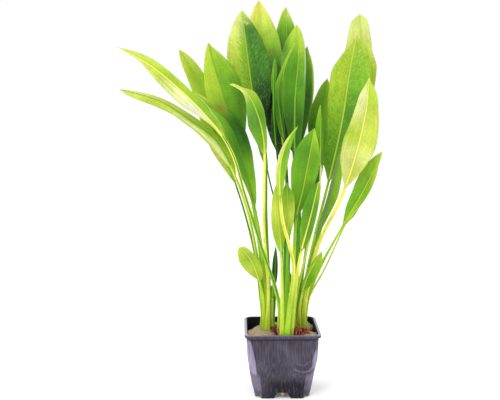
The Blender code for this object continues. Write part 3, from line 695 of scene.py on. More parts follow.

# Each leaf: crown, bearing and ring share of its foot, stoutness, waypoint where the blade
# begins, turn at foot and tip, fold, outline, and waypoints as x y z. Then its colours: from foot
# to tip of its left half and its right half, of its rib, and from foot to neck of its stalk. These
# hold the leaves' own yellow-greens with painted shade and painted light: the black, deep and dark
# stretches are painted shade where a leaf lies in the shade of others, and one half is painted
# lighter than the other where it turns to the light. Then how wrinkled it is, how strong the green
# stripe down its stalk is, and its marks: place along and across the blade, reach along and
# across, colour and strength; the deep and dark marks are painted shadows.
Leaf = namedtuple("Leaf", "crown bearing ring stout start footTurn tipTurn fold outline ways "
                  "left right rib stalk wrinkle stripe marks",
                  defaults=("light", "lime light light", 0.0, 0.0, ()))
leaves = {
    "front_low_left": Leaf("left", 215, 1.0, 0.7, 1.0, 15, 5, 16,
        Sides("2.5 6 9.3 12 12.6 12.2 9 5.3", "5 8 9.3 9.8 9 8 7.2 5"),
        "-22 -7 114, -27 -12 137, -37 -18 164, -51 -23 181",
        "lime light lime light", "fresh lime lime light", "light", "lime lime lime"),
    "left_curled": Leaf("left", 268, 1.0, 0.9, 2.6, 15, -50, 25,
        Sides("5 9.5 14 18 16.5 12 4.5 1.5", "3.5 4.5 5.5 7.5 9 8.5 2.8 2.8"),
        "-16 -9 126, -22 -20 201, -22 -27 254, -23 -34 307, -32 -38 341, -44 -41 361, -62 -43 370",
        "fresh grass green green grass pale pale", "lime fresh grass green fresh light pale",
        "light", "lime straw straw"),
    "left_low": Leaf("left", 178, 1.0, 1.0, 2.4, -45, -40, -18,
        Sides("4 7.5 9.5 6.5 6 8 7 4", "3.5 7 11 13 10.5 7.3 5.5 3"),
        "-23 1 112, -30 -9 169, -46 -20 239, -77 -32 305, -107 -38 329, -140 -44 351, -184 -50 364",
        "light pale light pale light light pale", "lime lime fresh lime light light pale", "green",
        "lime light light", 0.0, 0.5, ((0.8, 0.2, 0.1, 0.15, "cream", 0.7),
        (0.35, -0.6, 0.2, 0.12, "white", 0.8), (0.5, -0.95, 0.3, 0.2, "fresh", 0.7))),
    "left_behind": Leaf("left", 138, 1.0, 0.65, 2.0, -15, -20, 14,
        Sides("5 9 12 12.5 12.5 12.5 10 4.5", "5.9 10.5 13 14.3 13.5 11.5 9 5"),
        "-25 7 110, -33 12 171, -55 22 250, -82 30 312, -101 38 375, -124 46 413",
        "light pale lime lime lime light", "lime lime green grass lime light", "fresh",
        "lime green dark"),
    "left_broad": Leaf("left", 0, 0.0, 1.0, 1.25, -10, -50, 16,
        Sides("2.5 5 9 13 16.5 14.5 5.5 1.5", "3.5 7 10.5 14 15 11.6 6.5 3.3"),
        "-18 1 118, -28 -6 201, -43 -11 268, -62 -14 322, -84 -14 345, -106 -10 362",
        "fresh fresh green green grass fresh pale", "fresh fresh grass dark dark fresh light",
        "green", "lime lime fresh", 0.2, 0.0, ((0.58, 0.75, 0.1, 0.3, "deep", 0.7),
        (0.78, 0.6, 0.035, 0.25, "brown", 0.9), (0.78, -0.95, 0.14, 0.16, "cream", 0.8))),
    "left_tall": Leaf("left", 92, 1.0, 1.0, 2.2, -22, -10, 12,
        Sides("9 16 21 23.5 21.5 16.5 10 4.3", "8 14.5 19.7 22.6 23.6 20.5 13 4"),
        "-21 11 116, -30 9 202, -46 6 281, -65 4 346, -80 6 392, -87 10 419",
        "fresh fresh fresh lime lime light", "green green grass grass fresh lime", "green",
        "fresh fresh grass", 0.1, 0.0, ((0.42, 0.85, 0.22, 0.45, "deep", 0.7),)),
    "small_left": Leaf("left", 318, 1.0, 0.6, 0.3, 10, 10, 20,
        Oval(4.0, 0.3),
        "-11 -1 105, -11 0 131",
        "green grass fresh", "green grass fresh"),
    "small_back": Leaf("left", 2, 1.0, 0.8, 0.4, 20, 20, 20,
        Oval(4.0, 0.2),
        "-8 10 109, -7 14 143, -6 19 175",
        "deep deep dark", "deep deep dark", "green", "lime green dark"),
    "back_left": Leaf("left", 46, 1.0, 1.0, 2.3, 12, 2, 14,
        Sides("4 10 18 24 25.5 22.5 15.5 7", "8.5 18 24.5 28 26.5 21 13 5"),
        "-14 15 114, -18 20 207, -20 26 292, -34 30 358, -42 36 417, -47 46 460",
        "dark green fresh lime light pale pale", "black black deep dark dark dark light", "fresh",
        "grass green green", 1.0, 0.0, ((0.65, -0.15, 0.3, 0.25, "grass", 0.8),
        (0.9, 0.15, 0.012, 0.12, "white", 0.6), (0.88, 0.42, 0.008, 0.14, "white", 0.6))),
    "front_narrow": Leaf("centre", 280, 1.0, 1.1, 2.2, 200, 215, 20,
        Sides("1.5 3.5 5.5 7 7.4 6 3.7 1", "2.5 4.5 5.9 6.4 6.2 4.5 2.5 1"),
        "7 -37 109, 11 -46 164, -3 -58 224, -5 -68 281, 2 -74 307, 13 -80 325",
        "lime fresh grass fresh", "lime lime light lime", "light", "fresh lime straw straw", 0.0,
        0.4, ((0.62, 0.85, 0.18, 0.35, "cream", 0.9),)),
    "front_left": Leaf("centre", 240, 1.0, 0.9, 0.9, 170, 150, 22,
        Oval(8.5, 0.35),
        "-1 -36 115, -3 -45 179, -8 -52 235, -9 -56 259",
        "grass lime light lime", "fresh lime light lime", "lime", "lime light lime"),
    "left_long": Leaf("centre", 160, 0.8, 1.0, 3.1, -10, -15, -20,
        Sides("1.5 3 7.5 11.5 10.8 7 1.5 0.6", "4.5 7.5 8.5 8.7 9 9 7 3"),
        "-5 -28 118, -27 -37 188, -44 -46 243, -61 -56 298, -88 -60 335, -119 -61 366, "
        "-150 -60 391, -185 -56 410",
        "straw light cream cream light pale pale", "fresh fresh fresh lime lime light pale",
        "straw", "lime fresh straw", 0.0, 1.0, ((0.52, -0.55, 0.25, 0.07, "fresh", 0.8),
        (0.3, -0.45, 0.12, 0.35, "white", 0.9), (0.45, -1.0, 0.2, 0.2, "lime", 0.6))),
    "front_right": Leaf("centre", 318, 1.0, 1.0, 1.1, 15, 20, 20,
        Sides("3 5 8 10 11 10 7.5 4", "3.5 6 7.5 7.5 7 6.5 5 3"),
        "12 -32 107, 19 -38 170, 31 -46 222, 39 -50 261",
        "fresh grass green green", "grass green green fresh", "straw", "lime light straw"),
    "front_pale": Leaf("centre", 270, 0.35, 0.9, 1.2, 10, 0, 20,
        Sides("1 2.5 4.3 6.3 7.6 7.5 6 2.8", "2.5 4.2 6 7.5 8.3 8 5.3 1.8"),
        "4 -28 112, 5 -34 177, 5 -41 227, 3 -46 260",
        "grass lime lime fresh green", "grass lime light fresh green", "lime", "fresh grass grass"),
    "front_broad": Leaf("centre", 0, 1.0, 1.0, 1.0, 10, 20, 14,
        Sides("3 8 12.5 16 18.3 17.8 12.5 5", "2.5 6 9.5 12.3 14 13 8.5 2.8"),
        "13 -22 117, 15 -26 211, 23 -34 252, 30 -42 294, 34 -46 321",
        "green grass grass green grass", "grass green grass grass lime", "lime",
        "light lime fresh"),
    "small_centre": Leaf("centre", 45, 1.0, 0.7, 0.2, 0, 0, 20,
        Oval(5.0, 0.3),
        "9 -15 116, 8 -11 151",
        "green green grass", "green green grass"),
    "left_shade": Leaf("centre", 160, 1.0, 0.55, 2.1, -15, -20, 18,
        Sides("3 5 7 8 8 7 5 3", "1.5 2.2 3 4 5 6 4.5 2.5"),
        "-1 -17 116, -1 -7 198, -16 -12 262, -26 -20 314, -38 -23 349",
        "grass green dark dark", "grass grass green dark", "green", "green dark dark"),
    "back_slim_left": Leaf("centre", 90, 0.35, 0.8, 2.0, 50, 15, 28,
        Sides("3 5 4.5 2.5 1 3 2.5 1.2", "3 5 5.5 5 4 3.5 5 3"),
        "2 -22 117, 2 -15 206, -7 -12 294, -11 -15 358, -10 -16 400",
        "deep deep dark green fresh", "deep deep dark dark green", "grass", "green dark deep"),
    "back_slim_right": Leaf("centre", 82, 1.0, 0.9, 2.0, 40, -30, 26,
        Sides("3 5 5 5 5 2.5 1.5 1.2", "3 4.5 5 5.5 5 2 1.5 1.2"),
        "7 -9 115, 8 -4 210, 3 -2 299, -5 -4 361, 4 -6 398, 14 -6 418",
        "green green dark grass lime light", "dark dark dark green lime light", "grass",
        "green dark deep"),
    "back_peak": Leaf("centre", 122, 1.0, 0.9, 2.0, 24, 18, 12,
        Sides("9 15 18 21 24 24 17 8", "8 13 18 22 22.5 22 15 6"),
        "1 -8 114, 6 12 184, 6 32 273, -7 48 358, -19 60 419, -26 74 475",
        "deep black black black dark fresh light straw",
        "deep black black deep dark fresh light straw", "lime", "green dark deep", 0.5),
    "right_slim": Leaf("right", 240, 1.0, 0.8, 2.6, 50, 60, 25,
        Oval(8.5, 0.3),
        "16 -6 107, 30 -4 174, 44 0 234, 46 -1 293, 45 -2 347",
        "green green grass lime", "dark green green fresh", "lime", "lime light cream"),
    "small_right": Leaf("right", 277, 1.0, 0.7, 0.4, 25, 10, 18,
        Sides("2 3.4 3.4 3.4 3.2 2.9 1.9 0.8", "4 7.2 9.4 10.7 10.8 9.3 7 2.5"),
        "22 -7 107, 31 -14 145, 46 -22 176",
        "lime fresh fresh lime", "fresh grass fresh lime"),
    "right_folded": Leaf("right", 344, 1.0, 0.9, 1.1, 25, 35, 25,
        Sides("2.5 3.5 4 4 4 3.5 2.5 1.5", "2 3.5 6 9.5 12.5 12 7.5 3"),
        "29 4 112, 38 -2 174, 55 -13 233, 68 -22 296",
        "grey grey grey", "grass grass fresh grass", "grass", "fresh grass grass"),
    "right_pale": Leaf("right", 314, 1.0, 1.3, 2.2, 15, 10, 14,
        Sides("4.5 11 17 18.5 15.5 13 9.3 2.5", "4 10 16 20.5 18.5 14.5 10.5 4"),
        "28 -3 106, 42 -14 179, 66 -31 238, 80 -42 284, 92 -46 341, 95 -44 378",
        "pale pale pale lime pale cream light", "pale light pale light light lime light", "straw",
        "lime straw straw"),
    "right_low": Leaf("right", 12, 1.0, 0.85, 2.0, 20, 35, 20,
        Sides("2.5 6 9.5 11.5 13 12.5 9 4", "3 4.5 6 7.7 8.5 7.5 3.5 1.5"),
        "33 8 111, 46 -4 152, 69 -20 202, 93 -36 250, 111 -50 295",
        "fresh grass grass fresh lime", "lime lime grass lime light", "lime", "lime lime lime"),
    "right_low_behind": Leaf("right", 40, 1.0, 0.55, 2.1, 30, 40, 22,
        Oval(9.0, 0.3),
        "34 15 109, 54 14 148, 74 8 196, 101 -2 258",
        "green green fresh", "dark green fresh", "lime", "light light lime"),
    "right_broad": Leaf("right", 300, 0.3, 1.0, 1.9, 5, 10, 12,
        Sides("6 15 16.5 19 21.5 22 13.5 3.5", "5 9 16 23.5 28 28 21.5 11"),
        "26 9 109, 40 12 183, 57 10 256, 71 9 322, 81 14 387, 89 22 428",
        "green green grass fresh lime lime light", "green grass green green grass fresh lime",
        "light", "lime lime fresh", 0.9),
    "right_peak": Leaf("right", 72, 1.0, 1.0, 2.4, 25, 15, 14,
        Sides("8 15.5 22 26 26 20.5 16.5 10.5", "7.4 11.6 17.5 23.5 22.5 14 11.5 9"),
        "29 22 109, 48 33 186, 72 46 265, 92 54 346, 102 64 416, 100 74 458",
        "green green fresh lime light pale pale", "green fresh lime lime light pale pale", "lime",
        "lime fresh grass", 0.4),
    "right_shade": Leaf("right", 90, 0.4, 0.9, 1.6, 12, 20, 14,
        Sides("1 2 3 9 15 14 10 5", "5 9 10 12 15.5 13 8.5 4.5"),
        "23 16 109, 34 29 186, 43.5 38 266, 50 42 330, 58 48 378",
        "deep deep deep dark green grass fresh", "deep dark green green grass fresh lime", "green",
        "fresh green dark"),
    "back_centre": Leaf("right", 200, 1.0, 1.0, 2.1, 12, 18, 12,
        Sides("4 8 12.5 16.5 18.5 21 17 7", "6 9.5 11.5 12 11 9.5 8 5"),
        "16 5 113, 20 7 196, 16 10 275, 16 12 352, 20 16 405, 18 24 441",
        "dark dark dark green green green fresh light",
        "dark dark dark green green grass lime light", "fresh", "fresh green dark", 0.2, 0.0,
        ((0.82, -0.9, 0.1, 0.25, "dark", 0.9), (0.72, 0.97, 0.12, 0.07, "white", 0.9))),
    "back_right": Leaf("right", 108, 1.0, 0.9, 2.15, -24, -20, 12,
        Sides("4 7.5 9.5 10.5 10.5 9.2 6.8 3.6", "4 6.5 8.5 10.5 11 10 7 2.5"),
        "20 24 108, 24 31 193, 23 33 285, 29 34 358, 32 40 417",
        "deep deep dark dark green", "deep dark dark green lime", "green", "green dark deep", 0.2,
        0.0, ((0.7, 0.95, 0.3, 0.14, "light", 0.9),)),
    "back_high": Leaf("right", 155, 1.0, 0.9, 2.0, -22, -10, 12,
        Sides("9 14 18 21 22 20 12.5 6", "7 12 16 17.5 17 15.5 11 4.5"),
        "15 16 111, 18 30 199, 17 48 284, 11 66 364, 10 80 420, 9 95 469",
        "black black black deep deep dark grass light",
        "black black black deep deep dark grass pale", "fresh", "green dark deep", 0.2),
}


def smoothLine(waypoints):
    # a smooth line through the waypoints, made as the CAD's midlines are, with each point's place
    # among the waypoints
    points = [np.array(p, float) for p in waypoints]
    ends = [points[0] * 2 - points[1], *points, points[-1] * 2 - points[-2]]
    line, numbers, steps = [], [], 24
    for k in range(len(points) - 1):
        level = ends[k:k + 4]
        knots = [0.0]
        for first, second in zip(level, level[1:]):
            knots.append(knots[-1] + math.sqrt(np.linalg.norm(second - first)))
        count = steps + (k == len(points) - 2)      # the last stretch has the end point too
        share = (np.arange(count) / steps)[:, None]
        t = knots[1] + (knots[2] - knots[1]) * share
        for width in (1, 2, 3):
            spans = [(knots[1], knots[2]) if width == 3 else (knots[i], knots[i + width])
                     for i in range(4 - width)]
            level = [level[i] * ((high - t) / (high - low))
                     + level[i + 1] * ((t - low) / (high - low))
                     for i, (low, high) in enumerate(spans)]
        line.append(level[0])
        numbers.append(k + share[:, 0])
    return np.concatenate(line), np.concatenate(numbers)


def smoothThrough(at, spots, values):
    # a smooth row of numbers through the given ones that never overshoots them
    spots, values = np.array(spots, float), np.array(values, float)
    rise = np.diff(values) / np.diff(spots)
    both = rise[:-1] * rise[1:]
    joint = np.where(both > 0, 2 * both / (rise[:-1] + rise[1:] + 1e-12), 0)
    slope = np.concatenate([[rise[0]], joint, [rise[-1]]])
    k = np.clip(np.searchsorted(spots, at, side="right") - 1, 0, len(spots) - 2)
    width = spots[k + 1] - spots[k]
    t = (at - spots[k]) / width
    return ((2 * t ** 3 - 3 * t ** 2 + 1) * values[k] + (t ** 3 - 2 * t ** 2 + t) * width * slope[k]
            + (3 * t ** 2 - 2 * t ** 3) * values[k + 1] + (t ** 3 - t ** 2) * width * slope[k + 1])


def bladeWidths(outline, u):
    # to the left and right, from the blade's foot at 0 to its tip at 1
    if isinstance(outline, Sides):
        return [smoothThrough(u, widthSpots, (0, *map(float, row.split()), 0)) for row in outline]
    body = np.minimum(u, 0.95)
    width = np.sin(np.pi * body ** leafShape["widestShift"]) ** (1 - outline.blunt * body)
    width = outline.half * width * np.clip((1 - u) / 0.05, 0, 1)
    return width, width


def midlineMesh(name, points, turn, fold, widths, stalk, along, run):
    # an edge chain that carries what the skin needs at each ring
    direction = np.gradient(points, axis=0)
    direction /= np.linalg.norm(direction, axis=1)[:, None]
    front = np.array([0.0, -1.0, 0.0])
    face = front - direction * (direction @ front)[:, None]
    face /= np.linalg.norm(face, axis=1)[:, None]
    lift = face * np.cos(turn)[:, None] + np.cross(face, direction) * np.sin(turn)[:, None]
    flat = np.clip(((widths[0] + widths[1]) / 2 / stalk - 1) / 1.5, 0, 1)
    spread = 1 + leafShape["footSpread"] * np.exp(-run / leafShape["footReach"])
    mesh = newMesh(name, points, [(i, i + 1) for i in range(len(points) - 1)], [])
    for label, values in (("side", np.cross(direction, lift)), ("lift", lift)):
        write(mesh, label, values, "FLOAT_VECTOR", "vector", 3)
    leftHalf, rightHalf = (np.maximum(width, stalk) * mm for width in widths)
    for label, values in (("leftHalf", leftHalf), ("rightHalf", rightHalf), ("stalk", stalk * mm),
                          ("spread", spread), ("flat", flat * flat * (3 - 2 * flat)),
                          ("fold", fold), ("alongBlade", along), ("run", run * mm)):
        write(mesh, label, values)
    return mesh


def leafMidline(name, made):
    s = leafShape
    (x, y), (ringX, ringY) = crownSpots[made.crown]
    angle = math.radians(made.bearing)
    foot = (x + made.ring * ringX * math.cos(angle), y + made.ring * ringY * math.sin(angle),
            s["footHeight"])
    ways = [[float(number) for number in way.split()] for way in made.ways.split(",")]
    line, numbers = smoothLine((foot, *ways))
    total = np.concatenate([[0], np.cumsum(np.linalg.norm(np.diff(line, axis=0), axis=1))])
    bladeStart = total[np.argmax(numbers >= made.start + 1)]
    stalkShare = np.linspace(0, 1, s["stalkRings"], endpoint=False)
    even = np.linspace(0, 1, s["bladeRings"])
    u = 0.65 * even + 0.35 * (0.5 - 0.5 * np.cos(np.pi * even))   # closer rings at both ends
    run = np.concatenate([bladeStart * stalkShare, bladeStart + (total[-1] - bladeStart) * u])
    points = np.stack([np.interp(run, total, line[:, k]) for k in range(3)], axis=1)
    plain = s["stalkFoot"] + (s["stalkNeck"] - s["stalkFoot"]) * stalkShare
    plain = plain + s["stalkSwell"] * np.sin(np.pi * stalkShare)
    plain = plain * (min(made.stout, 1.0) * (1 - stalkShare) + made.stout * stalkShare)
    neck = s["stalkNeck"] * made.stout
    stalk = np.concatenate([plain, neck + (s["ribTip"] - neck) * u ** 0.8])
    onBlade = np.concatenate([0 * stalkShare, u])
    widths = [np.concatenate([0 * stalkShare, width]) for width in bladeWidths(made.outline, u)]
    stalk[-1] = widths[0][-1] = widths[1][-1] = 0.05
    turn = np.radians(made.footTurn + (made.tipTurn - made.footTurn) * onBlade)
    along = np.concatenate([stalkShare - 1, u])
    return midlineMesh(name, points, turn, math.radians(made.fold), widths, stalk, along, run)


def leafTree():
    b, given = newTree("leafSkin", [label for label in leafSkin if label != "Sides"] + ["Seed"],
                       ("Sides",))
    spine = given["Geometry"]
    count = b.add("GeometryNodeAttributeDomainSize", {"component": "MESH"}, [spine])
    index = b.add("GeometryNodeInputIndex")
    line = b.add("GeometryNodeCurvePrimitiveLine")
    path = b.add("GeometryNodeResampleCurve", {}, {"Curve": line, "Count": count})
    hoop = b.add("GeometryNodeCurvePrimitiveCircle", {}, {"Resolution": given["Sides"],
                 "Radius": 0.01})
    tube = b.add("GeometryNodeCurveToMesh", {}, {"Curve": b.store(path, "ring", index),
                 "Profile Curve": b.store(hoop, "spot", index), "Fill Caps": True})
    ring = b.named("ring")

    def atRing(name, kind="FLOAT"):
        value = b.add("GeometryNodeInputPosition") if name == "position" else b.named(name, kind)
        return b.add("GeometryNodeSampleIndex", {"data_type": kind, "domain": "POINT"},
                     {"Geometry": spine, "Value": value, "Index": ring})

    middle, side, lift = (atRing(n, "FLOAT_VECTOR") for n in ("position", "side", "lift"))
    leftHalf, rightHalf, stalk, spread, flat, fold, along, run = map(atRing, (
        "leftHalf", "rightHalf", "stalk", "spread", "flat", "fold", "alongBlade", "run"))
    share = b.named("spot") * 2.0 / given["Sides"]
    across = b.add("ShaderNodeMath", {"operation": "PINGPONG"}, [share, 1.0]) * 2.0 - 1.0
    angle = share * math.pi
    top = 1 - (share > 1.0)                    # 1 on the upper face
    roundX = -angle.cos() * stalk * spread
    roundY = angle.sin() * stalk * (1 - top * given["Channel"])
    reach = abs(across)
    half = b.add("ShaderNodeMix", {"data_type": "FLOAT"}, {0: across > 0.0, 2: leftHalf,
                                                          3: rightHalf})
    ribShape = -(across * half / given["Rib width"]) ** 2.0
    rib = b.add("ShaderNodeMath", {"operation": "EXPONENT"}, [ribShape]) * stalk
    thick = (1 - reach ** 3.0) * given["Thickness"] * 0.5
    skin = top * (thick + rib * given["Rib on top"]) - (1 - top) * (thick + rib * 0.8)
    ripple = b.grain(b.combine(along * given["Waves"], across * 0.6, given["Seed"]), 1.0, 1.0, 0.4)
    edge = reach ** 2.2 * given["Edge wave"] * (ripple - 0.5) * 3.0 * (half / 0.014)
    arch = (reach * math.pi).sin() * half * given["Bulge"]
    bladeX = across * half * fold.cos()
    bladeY = reach ** 1.15 * half * fold.sin() + arch + edge + skin
    x = roundX + (bladeX - roundX) * flat
    y = roundY + (bladeY - roundY) * flat
    moved = b.add("GeometryNodeSetPosition", {}, {"Geometry": tube,
                  "Position": middle + side * x + lift * y})
    for name, value in (("across", across), ("along", along), ("run", run), ("halfWidth", half),
                        ("blade", flat)):
        moved = b.store(moved, name, value)
    for name in ("ring", "spot"):
        moved = b.add("GeometryNodeRemoveAttribute", {}, {"Geometry": moved, "Name": name})
    return endTree(b, moved, given["Finish"])


def leafMaterial():
    b = newMaterial("swordLeaf")
    spot, tint = b.spot(), b.attribute("tint", "Color")
    across, along, run, half, blade, wrinkle, stripe = map(b.attribute, (
        "across", "along", "run", "halfWidth", "blade", "wrinkle", "stripe"))
    reach = abs(across)
    away = reach * half                              # metres from the rib
    ribWide = 0.0013 - along * 0.0007
    rib = (1 - b.step(away, ribWide * 0.55, ribWide * 1.1)) * b.step(blade, 0.3, 0.9)
    beside = (1 - b.step(away, ribWide, ribWide * 2.4)) * (1 - rib) * blade
    cloud, speck = b.grain(spot, 50.0, 4.0), b.grain(spot, 420.0, 3.0)
    fine = b.grain(b.combine(across * 30.0, run * 70.0, along))   # long streaks
    wander = reach + (cloud - 0.5) * 0.08
    veins = ((wander * 44.0).sin() * 0.5 + 0.5) ** 5.0 * b.step(reach, 0.05, 0.2)
    mainVeins = ((wander * 15.7).cos() * 0.5 + 0.5) ** 14.0 * b.step(reach, 0.2, 0.4)
    cross = ((run * 1300.0 + reach * 11.0 + cloud * 9.0).sin() * 0.5 + 0.5) ** 4.0
    cross = cross * b.step(reach, 0.04, 0.2)
    slant = b.combine((run + away) * 110.0, (run - away) * 480.0, (across > 0.0) * 5.0)
    crinkle = b.grain(slant, 1.0, 2.0, 0.5, 0.9)     # slanting scratches
    wrinkle = wrinkle * b.step(reach, 0.04, 0.12)
    lit = b.step(crinkle, 0.55, 0.70) * wrinkle
    dim = (1 - b.step(crinkle, 0.30, 0.42)) * wrinkle
    level = 1.0 + (cloud - 0.5) * 0.75 + (fine - 0.5) * 0.65 + (speck - 0.5) * 0.3
    level = level + veins * 0.05 - cross * 0.05 * blade - beside * 0.14 + mainVeins * 0.10
    base = b.scale(tint, level + lit * 0.25 - dim * 0.35)
    base = b.mix(lit * 0.2, base, srgb(170, 204, 110))
    base = b.mix(rib * (0.95 - along * 0.35), base, b.attribute("ribTint", "Color"))
    base = b.mix(b.step(reach, 0.92, 0.99) * blade * 0.6, base, b.scale(tint, 1.45))
    channel = (1 - b.step(abs(across - 0.05), 0.15, 0.40)) * b.step(run, 0.03, 0.06)
    base = b.mix(channel * stripe * (1 - blade), base, srgb(64, 128, 34))
    height = veins * 0.4 - cross * 0.3 + cloud * 0.5 + fine * 0.4 + lit * 1.2 - dim
    return b.shade({"Base Color": base, "Roughness": 0.42 + 0.14 * cloud,
                    "Normal": b.bump(height, 0.30, 0.0004), "Subsurface Weight": 0.12,
                    "Subsurface Radius": (0.7, 1.0, 0.25), "Subsurface Scale": 0.003,
                    "Specular IOR Level": 0.16})


def paintLeaf(mesh, leaf):
    # each leaf's colours, from foot to tip on either half: its own greens with painted shade and
    # painted light
    along, across = read(mesh, "along"), read(mesh, "across")

    def ramp(names, at):
        stops = np.array([palette[n] for n in names.split()])
        spots = np.linspace(0, 1, len(stops))
        return np.stack([np.interp(at, spots, stops[:, k]) for k in range(3)], axis=1)

    share = np.clip(across / 0.08 * 0.5 + 0.5, 0, 1)[:, None]
    blade = ramp(leaf.left, along) * (1 - share) + ramp(leaf.right, along) * share
    for midAlong, midAcross, reachAlong, reachAcross, colour, strength in leaf.marks:
        away = ((along - midAlong) / reachAlong) ** 2 + ((across - midAcross) / reachAcross) ** 2
        share = (strength * np.exp(-away))[:, None]
        blade = blade * (1 - share) + np.array(palette[colour]) * share
    toBlade = np.clip((along + 0.02) / 0.12, 0, 1)[:, None]
    light = leafShape["stalkLight"] * (1 - toBlade) + leafShape["bladeLight"] * toBlade
    tint = (ramp(leaf.stalk, along + 1) * (1 - toBlade) + blade * toBlade) * light
    ribTint = np.array([palette[leaf.rib]]) * leafShape["ribLight"]
    for label, colours in (("tint", tint), ("ribTint", ribTint)):
        whole = np.column_stack([colours, np.ones(len(colours))])
        write(mesh, label, whole, "FLOAT_COLOR", "color", 4)
    write(mesh, "wrinkle", leaf.wrinkle)
    write(mesh, "stripe", leaf.stripe)


def insideBox(mesh):
    # keeps a leaf from reaching past the CAD's own box
    flat = np.zeros(len(mesh.vertices) * 3, np.float32)
    mesh.vertices.foreach_get("co", flat)
    low, high = (np.array(corner) for corner in cadBox)
    mesh.vertices.foreach_set("co", np.float32(np.clip(flat.reshape(-1, 3), low, high)).ravel())
    mesh.update()


def makeLeaves():
    tree, finish = leafTree(), leafMaterial()
    for number, (name, made) in enumerate(leaves.items()):
        piece = link("sword_" + name, leafMidline(name, made))
        grow(piece, tree, {**leafSkin, "Seed": number * 3.7, "Finish": finish})
        paintLeaf(piece.data, made)
        insideBox(piece.data)
        faceOut(piece.data)
        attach(piece, "root")
        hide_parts("leaf_" + name)
    print("leaves:", len(leaves), "with", len(piece.data.polygons), "faces each")
    return tree


# Crowns and sheaths

sheaths = {
    "perCrown": 7,
    "rings": 14,
    "outside": 2.4,         # how far outside the ring of stalks they stand
    "foot": 75.2,
    "height": 4.6,
    "half": 2.8,
    "fold": 0.35,
    "rib": 0.15,
    "seed": 11,
}
sheathSkin = {
    "Sides": 12,
    "Thickness": 0.25 * mm,
    "Channel": 0.5,
    "Rib on top": 0.0,
    "Rib width": 0.4 * mm,
    "Bulge": 0.0,
    "Edge wave": 1.2 * mm,
    "Waves": 3.0,
}


def crownMaterial():
    b = newMaterial("rootstock")
    x, y, z = b.split(b.spot())
    fibres = b.grain(b.combine(x * 900, y * 900, z * 150))
    base = b.mix(b.step(fibres, 0.35, 0.7), srgb(84, 62, 30), srgb(170, 168, 74))
    return b.shade({"Base Color": base, "Roughness": 0.75, "Normal": b.bump(fibres, 0.7, 0.0006)})


def dressCrowns():
    # the CAD's own rootstocks, with a better material
    finish = crownMaterial()
    for name in crownSpots:
        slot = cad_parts["crown_" + name].material_slots[0]
        slot.link, slot.material = "OBJECT", finish


def sheathMaterial():
    b = newMaterial("papery")
    across, run = b.attribute("across"), b.attribute("run")
    fibres = b.grain(b.combine(across * 12.0, run * 60.0, 0.0))
    base = b.mix(b.step(fibres, 0.35, 0.65), srgb(150, 146, 60), srgb(206, 204, 116))
    base = b.mix(b.step(run, 0.002, 0.006) * 0.6, base, srgb(128, 92, 46))
    return b.shade({"Base Color": base, "Roughness": 0.6})


def joinParts(name, parts):
    # one object from several meshes that share a material
    bm = bmesh.new()
    for part in parts:
        bm.from_mesh(part.data)
    mesh = bpy.data.meshes.new(name)
    bm.to_mesh(mesh)
    bm.free()
    mesh.materials.append(parts[0].data.materials[0])
    for part in parts:
        bpy.data.objects.remove(part)
    mesh.shade_smooth()
    return link(name, mesh)


def makeSheaths(tree):
    dice, finish = random.Random(sheaths["seed"]), sheathMaterial()
    share = np.linspace(0, 1, sheaths["rings"])
    for crown, (middle, ring) in crownSpots.items():
        parts = []
        for k in range(sheaths["perCrown"]):
            angle = 2 * math.pi * (k + dice.random() * 0.5) / sheaths["perCrown"]
            out = np.array([math.cos(angle), math.sin(angle)])
            foot = middle + (np.array(ring) + sheaths["outside"]) * out
            height = sheaths["height"] * dice.uniform(0.45, 1.2)
            lean = dice.uniform(0.3, 2.4)
            points = np.column_stack([foot + out * lean * share[:, None] ** 2,
                                      sheaths["foot"] + height * share])
            turn = angle + math.pi / 2 + dice.uniform(-0.4, 0.4) + 0 * share
            half = sheaths["half"] * dice.uniform(0.6, 1.2) * (1 - share ** 2.5) ** 0.8 + 0.05
            part = link("sheath", midlineMesh("sheath", points, turn, sheaths["fold"], (half, half),
                                              sheaths["rib"], share, share * height))
            grow(part, tree, {**sheathSkin, "Seed": k * 1.9, "Finish": finish})
            faceOut(part.data)
            parts.append(part)
        piece = joinParts("sheaths_" + crown, parts)
        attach(piece, "root")


# Roots

roots = {
    "sides": 6,
    "radius": 0.48,
    "points": 9,            # along each root
    "bend": 2.5,
    "aboveSand": 0.2,
    "unevenness": 0.25,
    "tipTop": 7.6,          # where the root tips at the drain arch hang from
    "seed": 23,
}
# Tufts of red-brown roots: where they start, how far that varies, where they end, how far that
# varies, how high they rise, how many
rootTufts = (
    ((-10.0, -6.0), (3.0, 5.0), (-6.5, -35.0), (3.5, 5.0), 11.0, 62),
    ((14.0, -8.0), (4.0, 6.0), (19.0, -35.0), (7.0, 5.0), 11.0, 90),
    ((22.0, -6.0), (5.0, 4.0), (29.0, -22.0), (5.0, 6.0), 6.0, 34),
    ((-8.0, 6.0), (3.0, 6.0), (2.0, 2.0), (6.0, 8.0), 5.0, 26),
)
# Root tips that hang from the floor at the front drain arch: x, y, length, shade
rootTips = ((-0.5, -31.8, 4.0, 1.0), (1.1, -31.4, 3.0, 0.98), (-2.0, -31.0, 2.2, 0.96))


def rootTree():
    b, given = newTree("rootSkin", (), ("Sides",))
    curve = b.add("GeometryNodeMeshToCurve", {}, {"Mesh": given["Geometry"]})
    thick = b.named("thick")
    sized = b.add("GeometryNodeSetCurveRadius", {}, {"Curve": curve, "Radius": thick})
    hoop = b.add("GeometryNodeCurvePrimitiveCircle", {}, {"Resolution": given["Sides"],
                 "Radius": 1.0})
    tube = b.add("GeometryNodeCurveToMesh", {}, {"Curve": sized, "Profile Curve": hoop,
                 "Scale": thick, "Fill Caps": True})
    return endTree(b, tube, given["Finish"])


def rootMaterial():
    b = newMaterial("redRoots")
    hue, patch = b.attribute("hue"), b.grain(b.spot(), 260.0, 2.0)
    base = b.mix(b.step(hue + patch * 0.5, 0.55, 1.15), srgb(40, 10, 8), srgb(206, 88, 46))
    base = b.mix(b.step(hue, 0.90, 1.0), base, srgb(214, 150, 104))
    return b.shade({"Base Color": base, "Roughness": 0.55})


